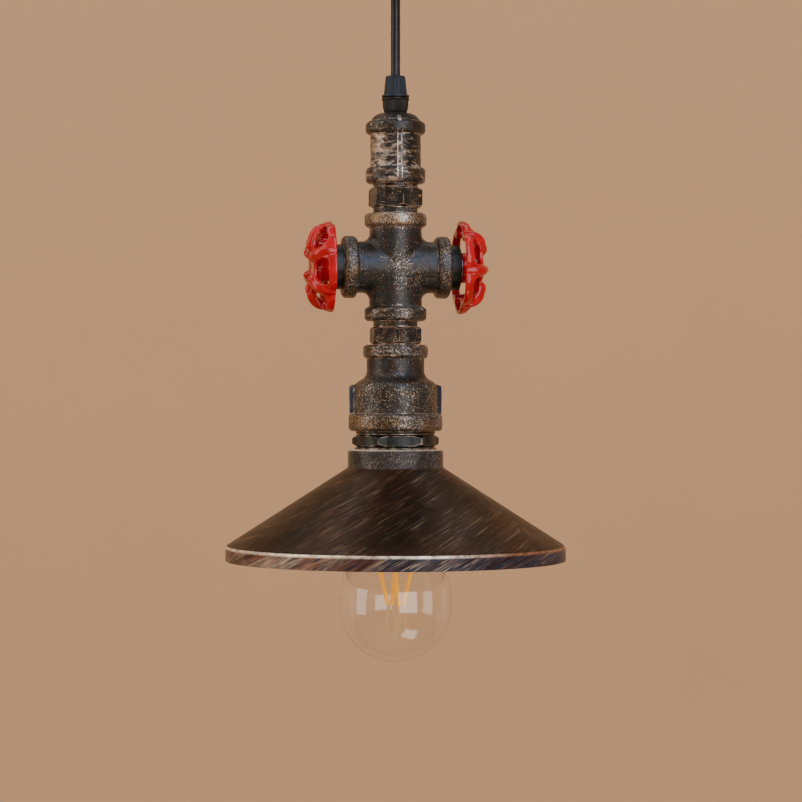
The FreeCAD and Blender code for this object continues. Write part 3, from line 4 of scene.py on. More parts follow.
import bmesh
import bpy
import numpy as np
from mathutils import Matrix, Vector


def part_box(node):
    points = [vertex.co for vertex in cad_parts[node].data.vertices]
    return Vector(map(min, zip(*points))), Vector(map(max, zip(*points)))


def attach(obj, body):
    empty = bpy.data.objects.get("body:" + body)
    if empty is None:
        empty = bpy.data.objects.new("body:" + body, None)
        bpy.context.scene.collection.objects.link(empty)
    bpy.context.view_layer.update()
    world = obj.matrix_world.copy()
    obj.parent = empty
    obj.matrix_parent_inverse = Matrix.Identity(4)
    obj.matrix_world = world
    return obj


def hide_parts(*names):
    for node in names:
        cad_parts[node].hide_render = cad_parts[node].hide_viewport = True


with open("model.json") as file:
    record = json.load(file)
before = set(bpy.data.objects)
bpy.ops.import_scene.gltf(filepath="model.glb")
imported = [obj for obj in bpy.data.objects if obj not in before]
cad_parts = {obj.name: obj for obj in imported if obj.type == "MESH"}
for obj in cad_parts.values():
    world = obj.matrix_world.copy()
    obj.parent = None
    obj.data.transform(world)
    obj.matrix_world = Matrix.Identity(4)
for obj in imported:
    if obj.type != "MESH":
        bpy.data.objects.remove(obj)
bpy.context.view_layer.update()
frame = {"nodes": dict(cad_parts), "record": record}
nodes = frame["nodes"]

MM = 0.001
TAU = 2 * math.pi


def link(name, data):
    """Put an object with the given data into the scene, at the origin."""
    thing = bpy.data.objects.new(name, data)
    bpy.context.collection.objects.link(thing)
    return thing


def stand(thing, place, ahead):
    """Stand a camera or a light at a place, facing ahead."""
    thing.location = place
    thing.rotation_mode = "QUATERNION"
    thing.rotation_quaternion = Vector(ahead).to_track_quat("-Z", "Y")


# Camera

CAMERA_TURN = -9.0
CAMERA_DISTANCE = 1.2455
CAMERA_LEVEL = -0.247
CAMERA_ASIDE = 5.5 * 0.53 * MM
SENSOR_WIDTH = 36
FOCAL_LENGTH = 2350 / 802 * SENSOR_WIDTH


def camera():
    """Stand the camera at the photograph's place: level, nine degrees round to the left."""
    azimuth = math.radians(CAMERA_TURN)
    back = Vector((math.sin(azimuth), -math.cos(azimuth), 0))
    right = Vector((math.cos(azimuth), math.sin(azimuth), 0))
    data = bpy.data.cameras.new("camera")
    data.sensor_width = SENSOR_WIDTH
    data.lens = FOCAL_LENGTH
    data.clip_start, data.clip_end = 0.05, 50
    thing = link("camera", data)
    middle = Vector((0, 0, CAMERA_LEVEL))
    stand(thing, middle + back * CAMERA_DISTANCE + right * CAMERA_ASIDE, -back)
    bpy.context.scene.camera = thing


camera()


# Surfaces

def shade_smooth(mesh):
    mesh.polygons.foreach_set("use_smooth", np.full(len(mesh.polygons), True))
    mesh.update()


def mesh_object(name, points, faces):
    """Make an object from arrays of points in millimetres and of faces."""
    mesh = bpy.data.meshes.new(name)
    mesh.from_pydata((points * MM).tolist(), [], faces)
    shade_smooth(mesh)
    return link(name, mesh)


def rings(radius, height, steps):
    """Points (r cos a, r sin a, h) round the Z axis for each radius r and height h.

    The indices of the points come back too, as a grid with a row for each ring.
    """
    angle = np.arange(steps) * TAU / steps
    points = np.stack([np.outer(radius, np.cos(angle)), np.outer(radius, np.sin(angle)),
                       np.repeat(height[:, None], steps, 1)], -1)
    return points.reshape(-1, 3), np.arange(len(radius) * steps).reshape(-1, steps)


def bands_between(first, second):
    """The four-sided faces from each row of point indices to the row that follows it."""
    return np.stack([first, second, np.roll(second, -1, 1), np.roll(first, -1, 1)],
                    -1).reshape(-1, 4).tolist()


def dress_node(thing, body, node):
    """Let a new piece stand for a node, riding on its body."""
    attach(thing, body)
    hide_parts(node)
    return thing


TABLE_LENGTH = 4096
PRIMES = np.array([73856093, 19349663, 83492791])


def cast_noise(points, spacing, seed):
    """Smooth random heights between -1 and 1, one for each point.

    Each corner of a cubic lattice with the given spacing has a random number, found in a
    table by its three indices. A point takes the mean of its cell's eight corners, weighted
    along each axis by 3 t^2 - 2 t^3.
    """
    table = np.random.default_rng(seed).uniform(-1, 1, TABLE_LENGTH)
    cell = points / spacing
    low = np.floor(cell).astype(np.int64)
    share = cell - low
    share = share * share * (3 - 2 * share)
    total = np.zeros(len(cell))
    for corner in range(8):
        step = np.array([corner & 1, corner >> 1 & 1, corner >> 2 & 1])
        weight = np.prod(np.where(step == 1, share, 1 - share), axis=1)
        at = (low + step) * PRIMES
        mixed = at[:, 0] ^ at[:, 1] ^ at[:, 2]
        total += weight * table[mixed % TABLE_LENGTH]
    return total


# The height, spacing and seed of a casting's swells and of the finer lumps on them.
LUMPS = ((0.10, 4.5, 1), (0.06, 1.9, 2), (0.03, 0.9, 3))


def cast_lumps(points):
    """How far a cast face stands out at each point: its swells and lumps added up."""
    return sum(height * cast_noise(points, spacing, seed) for height, spacing, seed in LUMPS)


def soft_step(value):
    """Rise from 0 to 1 as the value v goes from -1 to 1, as (2 + 3v - v^3) / 4."""
    value = np.clip(value, -1, 1)
    return (2 + 3 * value - value ** 3) / 4


def rounded(corners, steps=5):
    """Round the corners of an open outline.

    A corner is (radius, height) or (radius, height, rounding). The rounding arc is drawn as
    the curve (1-t)^2 A + 2t(1-t) B + t^2 C through the corner B, from a point A on the side
    before it to a point C on the side after it, each the rounding's length from B.
    """
    points = np.array([c[:2] for c in corners], float)
    sizes = np.array([c[2] if len(c) > 2 else 0.0 for c in corners])
    line = []
    share = np.linspace(0, 1, steps + 1)[:, None]
    for number, (corner, size) in enumerate(zip(points, sizes)):
        if size == 0:
            line.append(corner[None])
            continue
        before = points[number - 1] - corner
        after = points[number + 1] - corner
        start = corner + before / np.linalg.norm(before) * size
        end = corner + after / np.linalg.norm(after) * size
        line.append((1 - share) ** 2 * start + 2 * share * (1 - share) * corner + share ** 2 * end)
    return np.concatenate(line)


def bowed(start, end, rise, steps=12):
    """The line from start to end bowed out to its left by 4 rise t (1 - t)."""
    start, end = np.array(start, float), np.array(end, float)
    share = np.linspace(0, 1, steps + 1)[:, None]
    along = end - start
    left = np.array([-along[1], along[0]]) / np.linalg.norm(along)
    return start + along * share + left * (4 * rise * share * (1 - share))


def spaced(line, step):
    """Divide an open line of points so that neighbours are no further apart than step."""
    gaps = np.linalg.norm(np.diff(line, axis=0), axis=1)
    line = line[np.concatenate([[True], gaps > 1e-6])]
    gaps = np.linalg.norm(np.diff(line, axis=0), axis=1)
    counts = np.maximum(1, np.ceil(gaps / step).astype(int))
    along = np.repeat(np.arange(len(counts)), counts)
    share = np.concatenate([np.arange(n) / n for n in counts])[:, None]
    inside = line[along] * (1 - share) + line[along + 1] * share
    return np.concatenate([inside, line[-1:]])


def turned(name, outer, inner, steps, shape, top):
    """Turn a closed outline of (radius, height) about the Z axis.

    The outer line runs down the outside and the inner line up the inside, and together they
    close the outline. A point at radius r and height h goes to (r cos a, r sin a, h + top),
    with a from 0 to a full turn. The shape changes the outer points first: it is a function
    of their radii, angles and heights, as grids, that gives new radii.
    """
    outline = np.concatenate([outer, inner])
    angle = np.arange(steps) * TAU / steps
    radius = np.repeat(outline[:, :1], steps, 1)
    height = np.repeat(outline[:, 1:2], steps, 1)
    last = len(outer)
    radius[:last] = shape(radius[:last], np.broadcast_to(angle, (last, steps)), height[:last])
    points = np.stack([radius * np.cos(angle), radius * np.sin(angle), height + top], -1)
    index = np.arange(radius.size).reshape(radius.shape)
    return mesh_object(name, points.reshape(-1, 3), bands_between(index, np.roll(index, -1, 0)))


PIVOT = -33.0
RELIEF_TOP = -74.8
CORD_RADIUS = 2.48
CORD_RIPPLE = 0.02
RIPPLE_LENGTH = 7.0


def cord():
    """The taut cord from inside the grip's mouth down to the strain relief.

    Round each height on the axis stands a ring of radius r with points (r cos a, r sin a).
    Up to the pivot r is 2.48 millimetres with a slow ripple of 0.02. Above it the rings
    follow a ball about the pivot, r = 2.48 cos t at the height 2.48 sin t, so that the end
    turns in place when the lamp swings.
    """
    straight = np.linspace(RELIEF_TOP, PIVOT, 90)
    ripple = CORD_RIPPLE * np.sin((straight - PIVOT) * TAU / RIPPLE_LENGTH)
    lift = np.linspace(0, math.radians(87), 12)[1:]
    heights = np.concatenate([straight, PIVOT + CORD_RADIUS * np.sin(lift)])
    radius = np.concatenate([CORD_RADIUS + ripple, CORD_RADIUS * np.cos(lift)])
    points, index = rings(radius, heights, 48)
    ends = [index[0, ::-1].tolist(), index[-1].tolist()]
    thing = mesh_object("cord_jacket", points, bands_between(index[1:], index[:-1]) + ends)
    dress_node(thing, "lamp", "cord")
    path = [(0, 0, height * MM) for height in heights]
    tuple(path[0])
    return thing


def with_ribs(ribs):
    """A shape for cast fittings: raised ribs, and lumps all over.

    A rib is (angle, half width, reach, top, foot, stand). It lifts the radius to its reach,
    or by its stand where that is less, inside its half width and between its top and foot,
    with edges that rise as the soft step does.
    """
    def shape(radius, angle, height):
        x, y = radius * np.cos(angle), radius * np.sin(angle)
        lumps = cast_lumps(np.stack([x, y, height], -1).reshape(-1, 3)).reshape(radius.shape)
        lift = np.zeros(radius.shape)
        for turn, half_width, reach, top, foot, stand in ribs:
            aside = radius * np.abs(np.sin(angle - turn))
            facing = np.cos(angle - turn) > 0
            across = soft_step((half_width - aside + 0.25 * lumps) / 0.35) * facing
            along = soft_step((top - height) / 0.5) * soft_step((height - foot) / 0.5)
            lift += across * along * np.clip(reach - radius, 0, stand)
        return radius + lift + lumps
    return shape


def top_of(node):
    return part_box(node)[1][2] / MM


SOCKET_TOP = top_of("top_socket")
CROSS_LEVEL = (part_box("cross_fitting")[0][2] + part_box("cross_fitting")[1][2]) / 2 / MM
REDUCER_TOP = top_of("reducer_socket")
SHADE_TOP = top_of("shade")
RELIEF_COLLAR = 5.0
RELIEF_FACE = top_of("strain_relief_base") - RELIEF_COLLAR

# Depths below each piece's own top, and the cross's bands from its middle. Both the shapes
# and the finishes use them.
SOCKET_TOP_BAND, SOCKET_BODY, SOCKET_LOW_BAND, SOCKET_FOOT = 4.5, 11.1, 28.8, 37.1
REDUCER_NECK, REDUCER_SHOULDER, REDUCER_LOW_BAND, REDUCER_FOOT = 7.1, 13.5, 36.6, 45.6
SHADE_COLLAR, SHADE_SKIRT = 9.4, 51.0
CROSS_BAND = 20.5


def band(radius, core, top, height):
    """The corners of a cast band on a core, from its upper edge down to its lower one."""
    bevel = 1.2
    return [(core, top, 0.4), (radius - bevel, top, 0.7), (radius, top - bevel, 0.8),
            (radius, top - height + bevel, 0.8), (radius - bevel, top - height, 0.7),
            (core, top - height, 0.4)]


def cast_socket():
    """The domed top socket: one outline turned, with a rib in front and behind."""
    radius, body, hole, bore = 15.85, 13.4, 5.1, 10.4
    dome = np.concatenate([[(hole, 0.0)], bowed((6.4, 0.0), (12.9, -3.4), 1.0)])
    bands = rounded([(13.1, -3.9)]
                    + band(radius, body, -SOCKET_TOP_BAND, SOCKET_BODY - SOCKET_TOP_BAND)
                    + band(radius, body, -SOCKET_LOW_BAND, SOCKET_FOOT - SOCKET_LOW_BAND)[:-1]
                    + [(body, -SOCKET_FOOT)])
    outer = spaced(np.concatenate([dome, bands]), 0.45)
    inner = np.array([(bore, -SOCKET_FOOT), (bore, -17.1), (9.9, -17.1), (9.9, -6.7),
                      (8.5, -2.8), (hole, -2.8)])
    dome_rib = (0.7, 15.6, -1.6, -5.0, 0.9)
    body_rib = (1.35, 15.6, -11.5, -36.0, 2.2)
    shape = with_ribs([(turn, *rib) for turn in (-TAU / 4, TAU / 4) for rib in (dome_rib, body_rib)])
    thing = turned("cast_top_socket", outer, inner, 264, shape, SOCKET_TOP)
    return dress_node(thing, "lamp", "top_socket")


def cast_reducer():
    """The reducing socket: two bands, an ogee shoulder, and a rib on each side."""
    neck, body, bore, wide_bore = 15.25, 22.25, 10.4, 16.6
    turn_of_ogee = ((neck + body) / 2, -18.8)
    top = rounded([(bore, 0.0)] + band(17.25, neck, 0.0, REDUCER_NECK)[1:]
                  + [(neck, -REDUCER_SHOULDER)])
    shoulder = np.concatenate([bowed((neck, -REDUCER_SHOULDER), turn_of_ogee, -0.95)[1:],
                               bowed(turn_of_ogee, (body, -24.1), 0.95)[1:]])
    skirt = rounded([(body, -24.5)]
                    + band(24.9, body, -REDUCER_LOW_BAND, REDUCER_FOOT - REDUCER_LOW_BAND)[:-1]
                    + [(body, -REDUCER_FOOT)])
    outer = spaced(np.concatenate([top, shoulder, skirt]), 0.55)
    inner = np.array([(wide_bore, -REDUCER_FOOT), (wide_bore, -25.6), (14.6, -25.6),
                      (14.6, -24.1), (9.8, -REDUCER_SHOULDER), (9.8, -13.0), (bore, -13.0)])
    shape = with_ribs([(turn, 1.35, 24.65, -21.1, -41.1, 2.6) for turn in (0.0, math.pi)])
    thing = turned("cast_reducer", outer, inner, 340, shape, REDUCER_TOP)
    return dress_node(thing, "lamp", "reducer_socket")


def knurled_base():
    """The strain relief's lower half: a flange over a knurled barrel that narrows downward.

    On the barrel the radius is less by 0.16 (1 - cos 34 a) millimetres, so that 34 ridges
    stand round it. They fade out towards its rounded foot.
    """
    ridges, depth, barrel = 34, 0.16, 5.2
    outer = rounded([(3.75, RELIEF_COLLAR), (4.85, RELIEF_COLLAR), (4.85, 0.0), (7.3, 0.0, 0.2),
                     (7.3, -0.9, 0.2), (6.9, -0.9), (6.75, -4.6, 1.5), (6.1, -7.2, 0.7),
                     (5.5, -8.0), (4.95, -8.0), (4.95, -15.3)])
    inner = np.array([(2.6, -15.3), (2.6, -0.9), (3.75, -0.9)])

    def knurl(radius, angle, height):
        band_only = soft_step((-1.2 - height) / 0.25) * soft_step((height + 7.6) / 0.5)
        return radius - depth * (1 - np.cos(ridges * angle)) * band_only * (radius > barrel)

    thing = turned("knurled_relief_base", spaced(outer, 0.4), inner, 8 * ridges, knurl, RELIEF_FACE)
    return dress_node(thing, "lamp", "strain_relief_base")


def softened(name, node, voxel, passes, lumps):
    """A cast copy of a node, its edges rounded as sand casting and paint leave them.

    The node's mesh is copied and merged, rebuilt in even cells, and its points are drawn
    towards their neighbours' mean a few times. Then each goes out along the surface's
    normal by the casting's lumps times the given amount.
    """
    mesh = nodes[node].data.copy()
    mesh.materials.clear()
    shell = bmesh.new()
    shell.from_mesh(mesh)
    bmesh.ops.remove_doubles(shell, verts=shell.verts, dist=1e-6)
    shell.to_mesh(mesh)
    shell.free()
    rough = link(name + "_rough", mesh)
    cells = rough.modifiers.new("cells", "REMESH")
    cells.mode = "VOXEL"
    cells.voxel_size = voxel * MM
    ease = rough.modifiers.new("ease", "SMOOTH")
    ease.factor = 0.5
    ease.iterations = passes
    done = rough.evaluated_get(bpy.context.evaluated_depsgraph_get())
    mesh = bpy.data.meshes.new_from_object(done)
    bpy.data.objects.remove(rough)
    count = len(mesh.vertices)
    points, normals = np.empty(count * 3), np.empty(count * 3)
    mesh.vertices.foreach_get("co", points)
    mesh.vertices.foreach_get("normal", normals)
    points, normals = points.reshape(-1, 3), normals.reshape(-1, 3)
    points += normals * (lumps * cast_lumps(points / MM) * MM)[:, None]
    mesh.vertices.foreach_set("co", points.ravel())
    mesh.name = name
    shade_smooth(mesh)
    return link(name, mesh)


cord_jacket = cord()
cast_top_socket = cast_socket()
cast_reducer_socket = cast_reducer()
relief_base = knurled_base()
cast_cross = dress_node(softened("cast_cross", "cross_fitting", 0.52, 4, 0.8), "lamp",
                        "cross_fitting")
painted_wheels = []
for side in ("left", "right"):
    wheel = softened(f"painted_{side}_handwheel", f"{side}_handwheel", 0.34, 7, 0.35)
    painted_wheels.append(dress_node(wheel, f"{side}_wheel", f"{side}_handwheel"))


# Finishes

class Shader:
    """A node tree with short ways to add nodes and join them."""

    def __init__(self, tree):
        self.tree = tree

    def add(self, kind, values=None, **settings):
        node = self.tree.nodes.new(kind)
        for word, setting in settings.items():
            setattr(node, word, setting)
        for socket, value in (values or {}).items():
            self.feed(node.inputs[socket], value)
        return node

    def feed(self, socket, value):
        if isinstance(value, bpy.types.NodeSocket):
            self.tree.links.new(value, socket)
        else:
            socket.default_value = value

    def work(self, kind, *values):
        node = self.add("ShaderNodeMath", operation=kind)
        for socket, value in zip(node.inputs, values):
            self.feed(socket, value)
        return node.outputs[0]

    def plus(self, first, second):
        return self.work("ADD", first, second)

    def minus(self, first, second):
        return self.work("SUBTRACT", first, second)

    def times(self, first, second):
        return self.work("MULTIPLY", first, second)

    def greatest(self, first, second):
        return self.work("MAXIMUM", first, second)

    def ramp(self, value, low, high, bottom=0.0, top=1.0):
        """Spread the values from low to high evenly over bottom to top, and stop there."""
        node = self.add("ShaderNodeMapRange", {"Value": value, "From Min": low, "From Max": high,
                                               "To Min": bottom, "To Max": top})
        return node.outputs["Result"]

    def mix(self, share, first, second):
        node = self.add("ShaderNodeMix", data_type="RGBA")
        self.feed(node.inputs["Factor"], share)
        for socket, value in zip([s for s in node.inputs if s.type == "RGBA"], (first, second)):
            self.feed(socket, value)
        return [s for s in node.outputs if s.type == "RGBA"][0]

    def noise(self, vector, scale, detail=3.0, roughness=0.55):
        node = self.add("ShaderNodeTexNoise", {"Vector": vector, "Scale": scale,
                                               "Detail": detail, "Roughness": roughness})
        return node.outputs["Fac"]

    def stretched(self, vector, scales):
        return self.add("ShaderNodeMapping", {"Vector": vector, "Scale": scales}).outputs[0]

    def parts(self, vector):
        return self.add("ShaderNodeSeparateXYZ", {"Vector": vector}).outputs

    def joined(self, parts):
        return self.add("ShaderNodeCombineXYZ", parts).outputs[0]

    def vectors(self, kind, first, second):
        node = self.add("ShaderNodeVectorMath", operation=kind)
        self.feed(node.inputs[0], first)
        self.feed(node.inputs[1], second)
        return node.outputs

    def here(self):
        return self.add("ShaderNodeTexCoord").outputs["Object"]

    def use(self, tree, values=None):
        """Place a node group and give back its outputs."""
        node = self.add("ShaderNodeGroup", node_tree=tree)
        for socket, value in (values or {}).items():
            self.feed(node.inputs[socket], value)
        return node.outputs

    def within(self, value, low, high, soft):
        """1 where the value lies between low and high, falling to 0 over soft outside."""
        rise = self.ramp(value, low - soft, low)
        fall = self.ramp(value, high, high + soft, 1.0, 0.0)
        return self.times(rise, fall)


def new_group(name, inputs, outputs):
    """Start a node group whose inputs are (name, kind, value) and outputs (name, kind)."""
    tree = bpy.data.node_groups.new(name, "ShaderNodeTree")
    kinds = {"value": "NodeSocketFloat", "vector": "NodeSocketVector", "colour": "NodeSocketColor"}
    for word, kind, value in inputs:
        socket = tree.interface.new_socket(word, in_out="INPUT", socket_type=kinds[kind])
        if value is not None:
            socket.default_value = value
    for word, kind in outputs:
        tree.interface.new_socket(word, in_out="OUTPUT", socket_type=kinds[kind])
    shader = Shader(tree)
    return shader, shader.add("NodeGroupInput").outputs, shader.add("NodeGroupOutput").inputs


BLACK = (0.005, 0.005, 0.005, 1)
BROWN = (0.034, 0.019, 0.011, 1)
TEAL = (0.010, 0.024, 0.026, 1)
BLUE = (0.010, 0.022, 0.055, 1)
RUST = (0.17, 0.050, 0.018, 1)
GOLD = (0.35, 0.25, 0.14, 1)
BEIGE = (0.50, 0.39, 0.27, 1)
SILVER = (0.60, 0.57, 0.54, 1)
COPPER = (0.26, 0.11, 0.055, 1)
WORN_IRON = (0.72, 0.66, 0.58, 1)
WORN_HEXAGON = (0.60, 0.47, 0.38, 1)
# The shade's rim line: a rubbed edge and a painted highlight, pale where lit and copper-dark as
# painted shade.
WORN_AND_HIGHLIT_RIM = (0.85, 0.75, 0.60, 1)
SHADED_COPPER_RIM = (0.36, 0.18, 0.10, 1)
RIB_BLUE = (0.007, 0.019, 0.060, 1)
SLATE = (0.018, 0.024, 0.042, 1)
SOOT = (0.030, 0.028, 0.026, 1)
GREEN_BLACK = (0.006, 0.013, 0.014, 1)
DARK_UMBER = (0.007, 0.005, 0.003, 1)
UMBER = (0.022, 0.010, 0.005, 1)
DARK_RED = (0.22, 0.002, 0.004, 1)
DEEP_RED = (0.36, 0.001, 0.006, 1)
RED = (0.50, 0.002, 0.010, 1)
AMBER = (0.95, 0.38, 0.01, 1)
BRIGHT_AMBER = (1.0, 0.47, 0.03, 1)
PALE_AMBER = (1.0, 0.62, 0.14, 1)
SAND = (0.70, 0.512, 0.322, 1)
PALE_SAND = (0.74, 0.542, 0.342, 1)
ROOM = (0.46, 0.31, 0.21, 1)
DAYLIGHT = (1.0, 0.96, 0.90)
SKYLIGHT = (0.55, 0.72, 1.0)


def edge_wear_group():
    """Where a finish is rubbed through along edges, broken up by a fine noise.

    The mask grows as the surface's normal leaves the normal of its rounded neighbourhood.
    """
    shader, given, out = new_group(
        "edge_wear",
        [("Width", "value", 0.6 * MM), ("Amount", "value", 1.0), ("Break Up", "value", 900.0)],
        [("Mask", "value")])
    rounded_edge = shader.add("ShaderNodeBevel", {"Radius": given["Width"]}, samples=6)
    surface = shader.add("ShaderNodeNewGeometry")
    same = shader.vectors("DOT_PRODUCT", rounded_edge.outputs[0], surface.outputs["Normal"])
    turned_away = shader.minus(1.0, same["Value"])
    patches = shader.noise(shader.here(), given["Break Up"], 4.0)
    strength = shader.times(turned_away, shader.ramp(patches, 0.42, 0.62, 0.0, 2.4))
    worn = shader.ramp(shader.times(strength, given["Amount"]), 0.03, 0.16)
    shader.feed(out["Mask"], worn)
    return shader.tree


def round_place_group():
    """The place on a piece as a direction about the Z axis, an angle, a radius and a height.

    Ring is (cos a, sin a, height), so that a noise on it runs round the piece unbroken.
    """
    shader, _, out = new_group(
        "round_place", [],
        [("Ring", "vector"), ("Angle", "value"), ("Radius", "value"), ("Height", "value")])
    parts = shader.parts(shader.here())
    squares = shader.plus(shader.times(parts["X"], parts["X"]),
                          shader.times(parts["Y"], parts["Y"]))
    radius = shader.work("SQRT", squares)
    angle = shader.work("ARCTAN2", parts["Y"], parts["X"])
    ring = shader.joined({"X": shader.work("COSINE", angle), "Y": shader.work("SINE", angle),
                          "Z": parts["Z"]})
    shader.feed(out["Ring"], ring)
    shader.feed(out["Angle"], angle)
    shader.feed(out["Radius"], radius)
    shader.feed(out["Height"], parts["Z"])
    return shader.tree


def covered(shader, noise, share, soft):
    """The part of a noise above a level that leaves about the given share of the surface."""
    level = shader.minus(0.66, shader.times(share, 0.32))
    return shader.ramp(shader.minus(noise, level), 0.0, soft)


def brushed_coat_group():
    """Near-black paint in several tints, dry brushed with light metal strokes and grains.

    Strokes and Grains are the shares of the surface that they cover. The strokes are long
    in the first two directions of Ring and fine in the third.
    """
    shader, given, out = new_group(
        "brushed_coat",
        [("Ring", "vector", None), ("Strokes", "value", 0.3), ("Grains", "value", 0.3),
         ("Grain Size", "value", 0.6 * MM), ("Blue Share", "value", 0.3),
         ("Warm Share", "value", 0.4)],
        [("Colour", "colour"), ("Light", "value"), ("Height", "value"), ("Brushed", "value")])
    here = shader.here()
    fine = shader.work("DIVIDE", 1.0, given["Grain Size"])
    grit = shader.noise(here, fine, 3.0, 0.7)
    pits = shader.noise(here, shader.times(fine, 1.3), 2.0, 0.6)
    patches = shader.noise(here, 95.0, 3.0, 0.6)
    tints = shader.noise(here, 260.0, 3.0, 0.65)
    warmth = shader.noise(here, 620.0, 3.0, 0.7)
    waves = shader.noise(shader.stretched(given["Ring"], (2.2, 2.2, 120.0)), 1.0, 3.0)
    bent = shader.joined({"Z": shader.times(waves, 5.0 * MM)})
    wavy = shader.vectors("ADD", given["Ring"], bent)[0]
    broad = shader.noise(shader.stretched(wavy, (1.8, 1.8, 420.0)), 1.0, 3.0, 0.6)
    thin = shader.noise(shader.stretched(wavy, (2.8, 2.8, 1300.0)), 1.0, 3.0, 0.65)
    ground = shader.mix(shader.ramp(tints, 0.42, 0.58), BROWN, TEAL)
    ground = shader.mix(shader.ramp(patches, 0.42, 0.6), ground, BLACK)
    ground = shader.mix(covered(shader, warmth, given["Blue Share"], 0.08), ground, BLUE)
    ground = shader.mix(shader.ramp(pits, 0.40, 0.5, 0.8, 0.0), ground, BLACK)
    strokes = shader.greatest(covered(shader, broad, given["Strokes"], 0.08),
                              shader.times(covered(shader, thin, given["Strokes"], 0.08), 0.6))
    spread = shader.plus(shader.times(grit, 0.8), shader.times(patches, 0.2))
    grains = covered(shader, spread, given["Grains"], 0.06)
    broken = shader.times(strokes, shader.ramp(grit, 0.40, 0.52, 0.5, 1.0))
    light = shader.greatest(broken, grains)
    light = shader.times(light, shader.ramp(pits, 0.38, 0.48, 0.35, 1.0))
    metal = shader.mix(shader.ramp(tints, 0.42, 0.54), SILVER, BEIGE)
    metal = shader.mix(covered(shader, patches, given["Warm Share"], 0.10), metal, GOLD)
    metal = shader.mix(shader.ramp(warmth, 0.56, 0.66, 0.0, 0.8), metal, RUST)
    furrows = shader.plus(shader.times(broad, 0.35), shader.times(pits, 0.35))
    height = shader.plus(shader.times(grit, 0.7), furrows)
    shader.feed(out["Colour"], shader.mix(light, ground, metal))
    shader.feed(out["Light"], light)
    shader.feed(out["Height"], height)
    shader.feed(out["Brushed"], broad)
    return shader.tree


EDGE_WEAR = edge_wear_group()
ROUND_PLACE = round_place_group()
BRUSHED_COAT = brushed_coat_group()


def new_finish(name):
    """Start a material and give back its shader and its Principled node's inputs."""
    material = bpy.data.materials.new(name)
    material.use_nodes = True
    material.node_tree.nodes.clear()
    shader = Shader(material.node_tree)
    skin = shader.add("ShaderNodeBsdfPrincipled")
    shader.add("ShaderNodeOutputMaterial", {"Surface": skin.outputs[0]})
    return material, shader, skin.inputs


def bump(shader, height, strength, distance):
    return shader.add("ShaderNodeBump", {"Height": height, "Strength": strength,
                                         "Distance": distance}).outputs[0]


def finish_cast(shader, skin, coat, colour, bare):
    """Give a cast fitting's skin its metal, gloss and grain from its coat's masks."""
    light = shader.greatest(coat["Light"], bare)
    shader.feed(skin["Base Color"], shader.mix(bare, colour, WORN_IRON))
    shader.feed(skin["Metallic"], shader.ramp(light, 0.0, 1.0, 0.05, 0.7))
    shader.feed(skin["Roughness"], shader.ramp(light, 0.0, 1.0, 0.34, 0.42))
    skin["Specular IOR Level"].default_value = 0.35
    shader.feed(skin["Normal"], bump(shader, coat["Height"], 0.6, 0.2 * MM))


def edge_of_wear(shader, amount=2.2):
    return shader.use(EDGE_WEAR, {"Width": 1.0 * MM, "Amount": amount, "Break Up": 420.0})["Mask"]


def socket_iron():
    """The top socket: strokes round the body, grains on the bands, worn rib and edges, and more pale
    strokes on the left as painted light.
    """
    material, shader, skin = new_finish("bronzed_iron_socket")
    place = shader.use(ROUND_PLACE)
    parts = shader.parts(shader.here())
    drop = shader.minus(SOCKET_TOP * MM, place["Height"])
    body = shader.within(drop, (SOCKET_BODY + 0.1) * MM, SOCKET_LOW_BAND * MM, 0.5 * MM)
    low_band = shader.ramp(drop, SOCKET_LOW_BAND * MM, (SOCKET_LOW_BAND + 0.8) * MM)
    patches = shader.noise(shader.here(), 75.0, 2.0)
    # More pale strokes on the left of the body than on the right: painted light, with the left side
    # lit and the right in shade.
    painted_light_on_left = shader.ramp(parts["X"], -7.0 * MM, 5.0 * MM, 0.44, 0.15)
    on_body = shader.plus(painted_light_on_left, shader.ramp(patches, 0.36, 0.6, -0.1, 0.1))
    strokes = shader.plus(shader.plus(0.05, shader.times(low_band, 0.30)),
                          shader.times(body, on_body))
    grains = shader.plus(shader.ramp(patches, 0.36, 0.6, 0.20, 0.34), shader.times(body, -0.22))
    coat = shader.use(BRUSHED_COAT, {"Ring": place["Ring"], "Strokes": strokes, "Grains": grains,
                                     "Blue Share": 0.2, "Warm Share": 0.45})
    aside = shader.work("ABSOLUTE", parts["X"])
    ragged = shader.noise(shader.here(), 620.0, 3.0, 0.7)
    rib_edge = shader.plus(1.2 * MM, shader.ramp(ragged, 0.3, 0.7, -0.3 * MM, 0.3 * MM))
    off_edge = shader.work("ABSOLUTE", shader.minus(aside, rib_edge))
    on_rib = shader.times(shader.ramp(off_edge, 0.1 * MM, 0.35 * MM, 1.0, 0.0),
                          shader.ramp(place["Radius"], 14.3 * MM, 14.8 * MM))
    on_rib = shader.times(on_rib, shader.within(drop, 11.0 * MM, 34.5 * MM, 1.0 * MM))
    worn = shader.greatest(edge_of_wear(shader),
                           shader.times(on_rib, shader.ramp(ragged, 0.36, 0.5, 0.2, 1.0)))
    finish_cast(shader, skin, coat, coat["Colour"], worn)
    return material


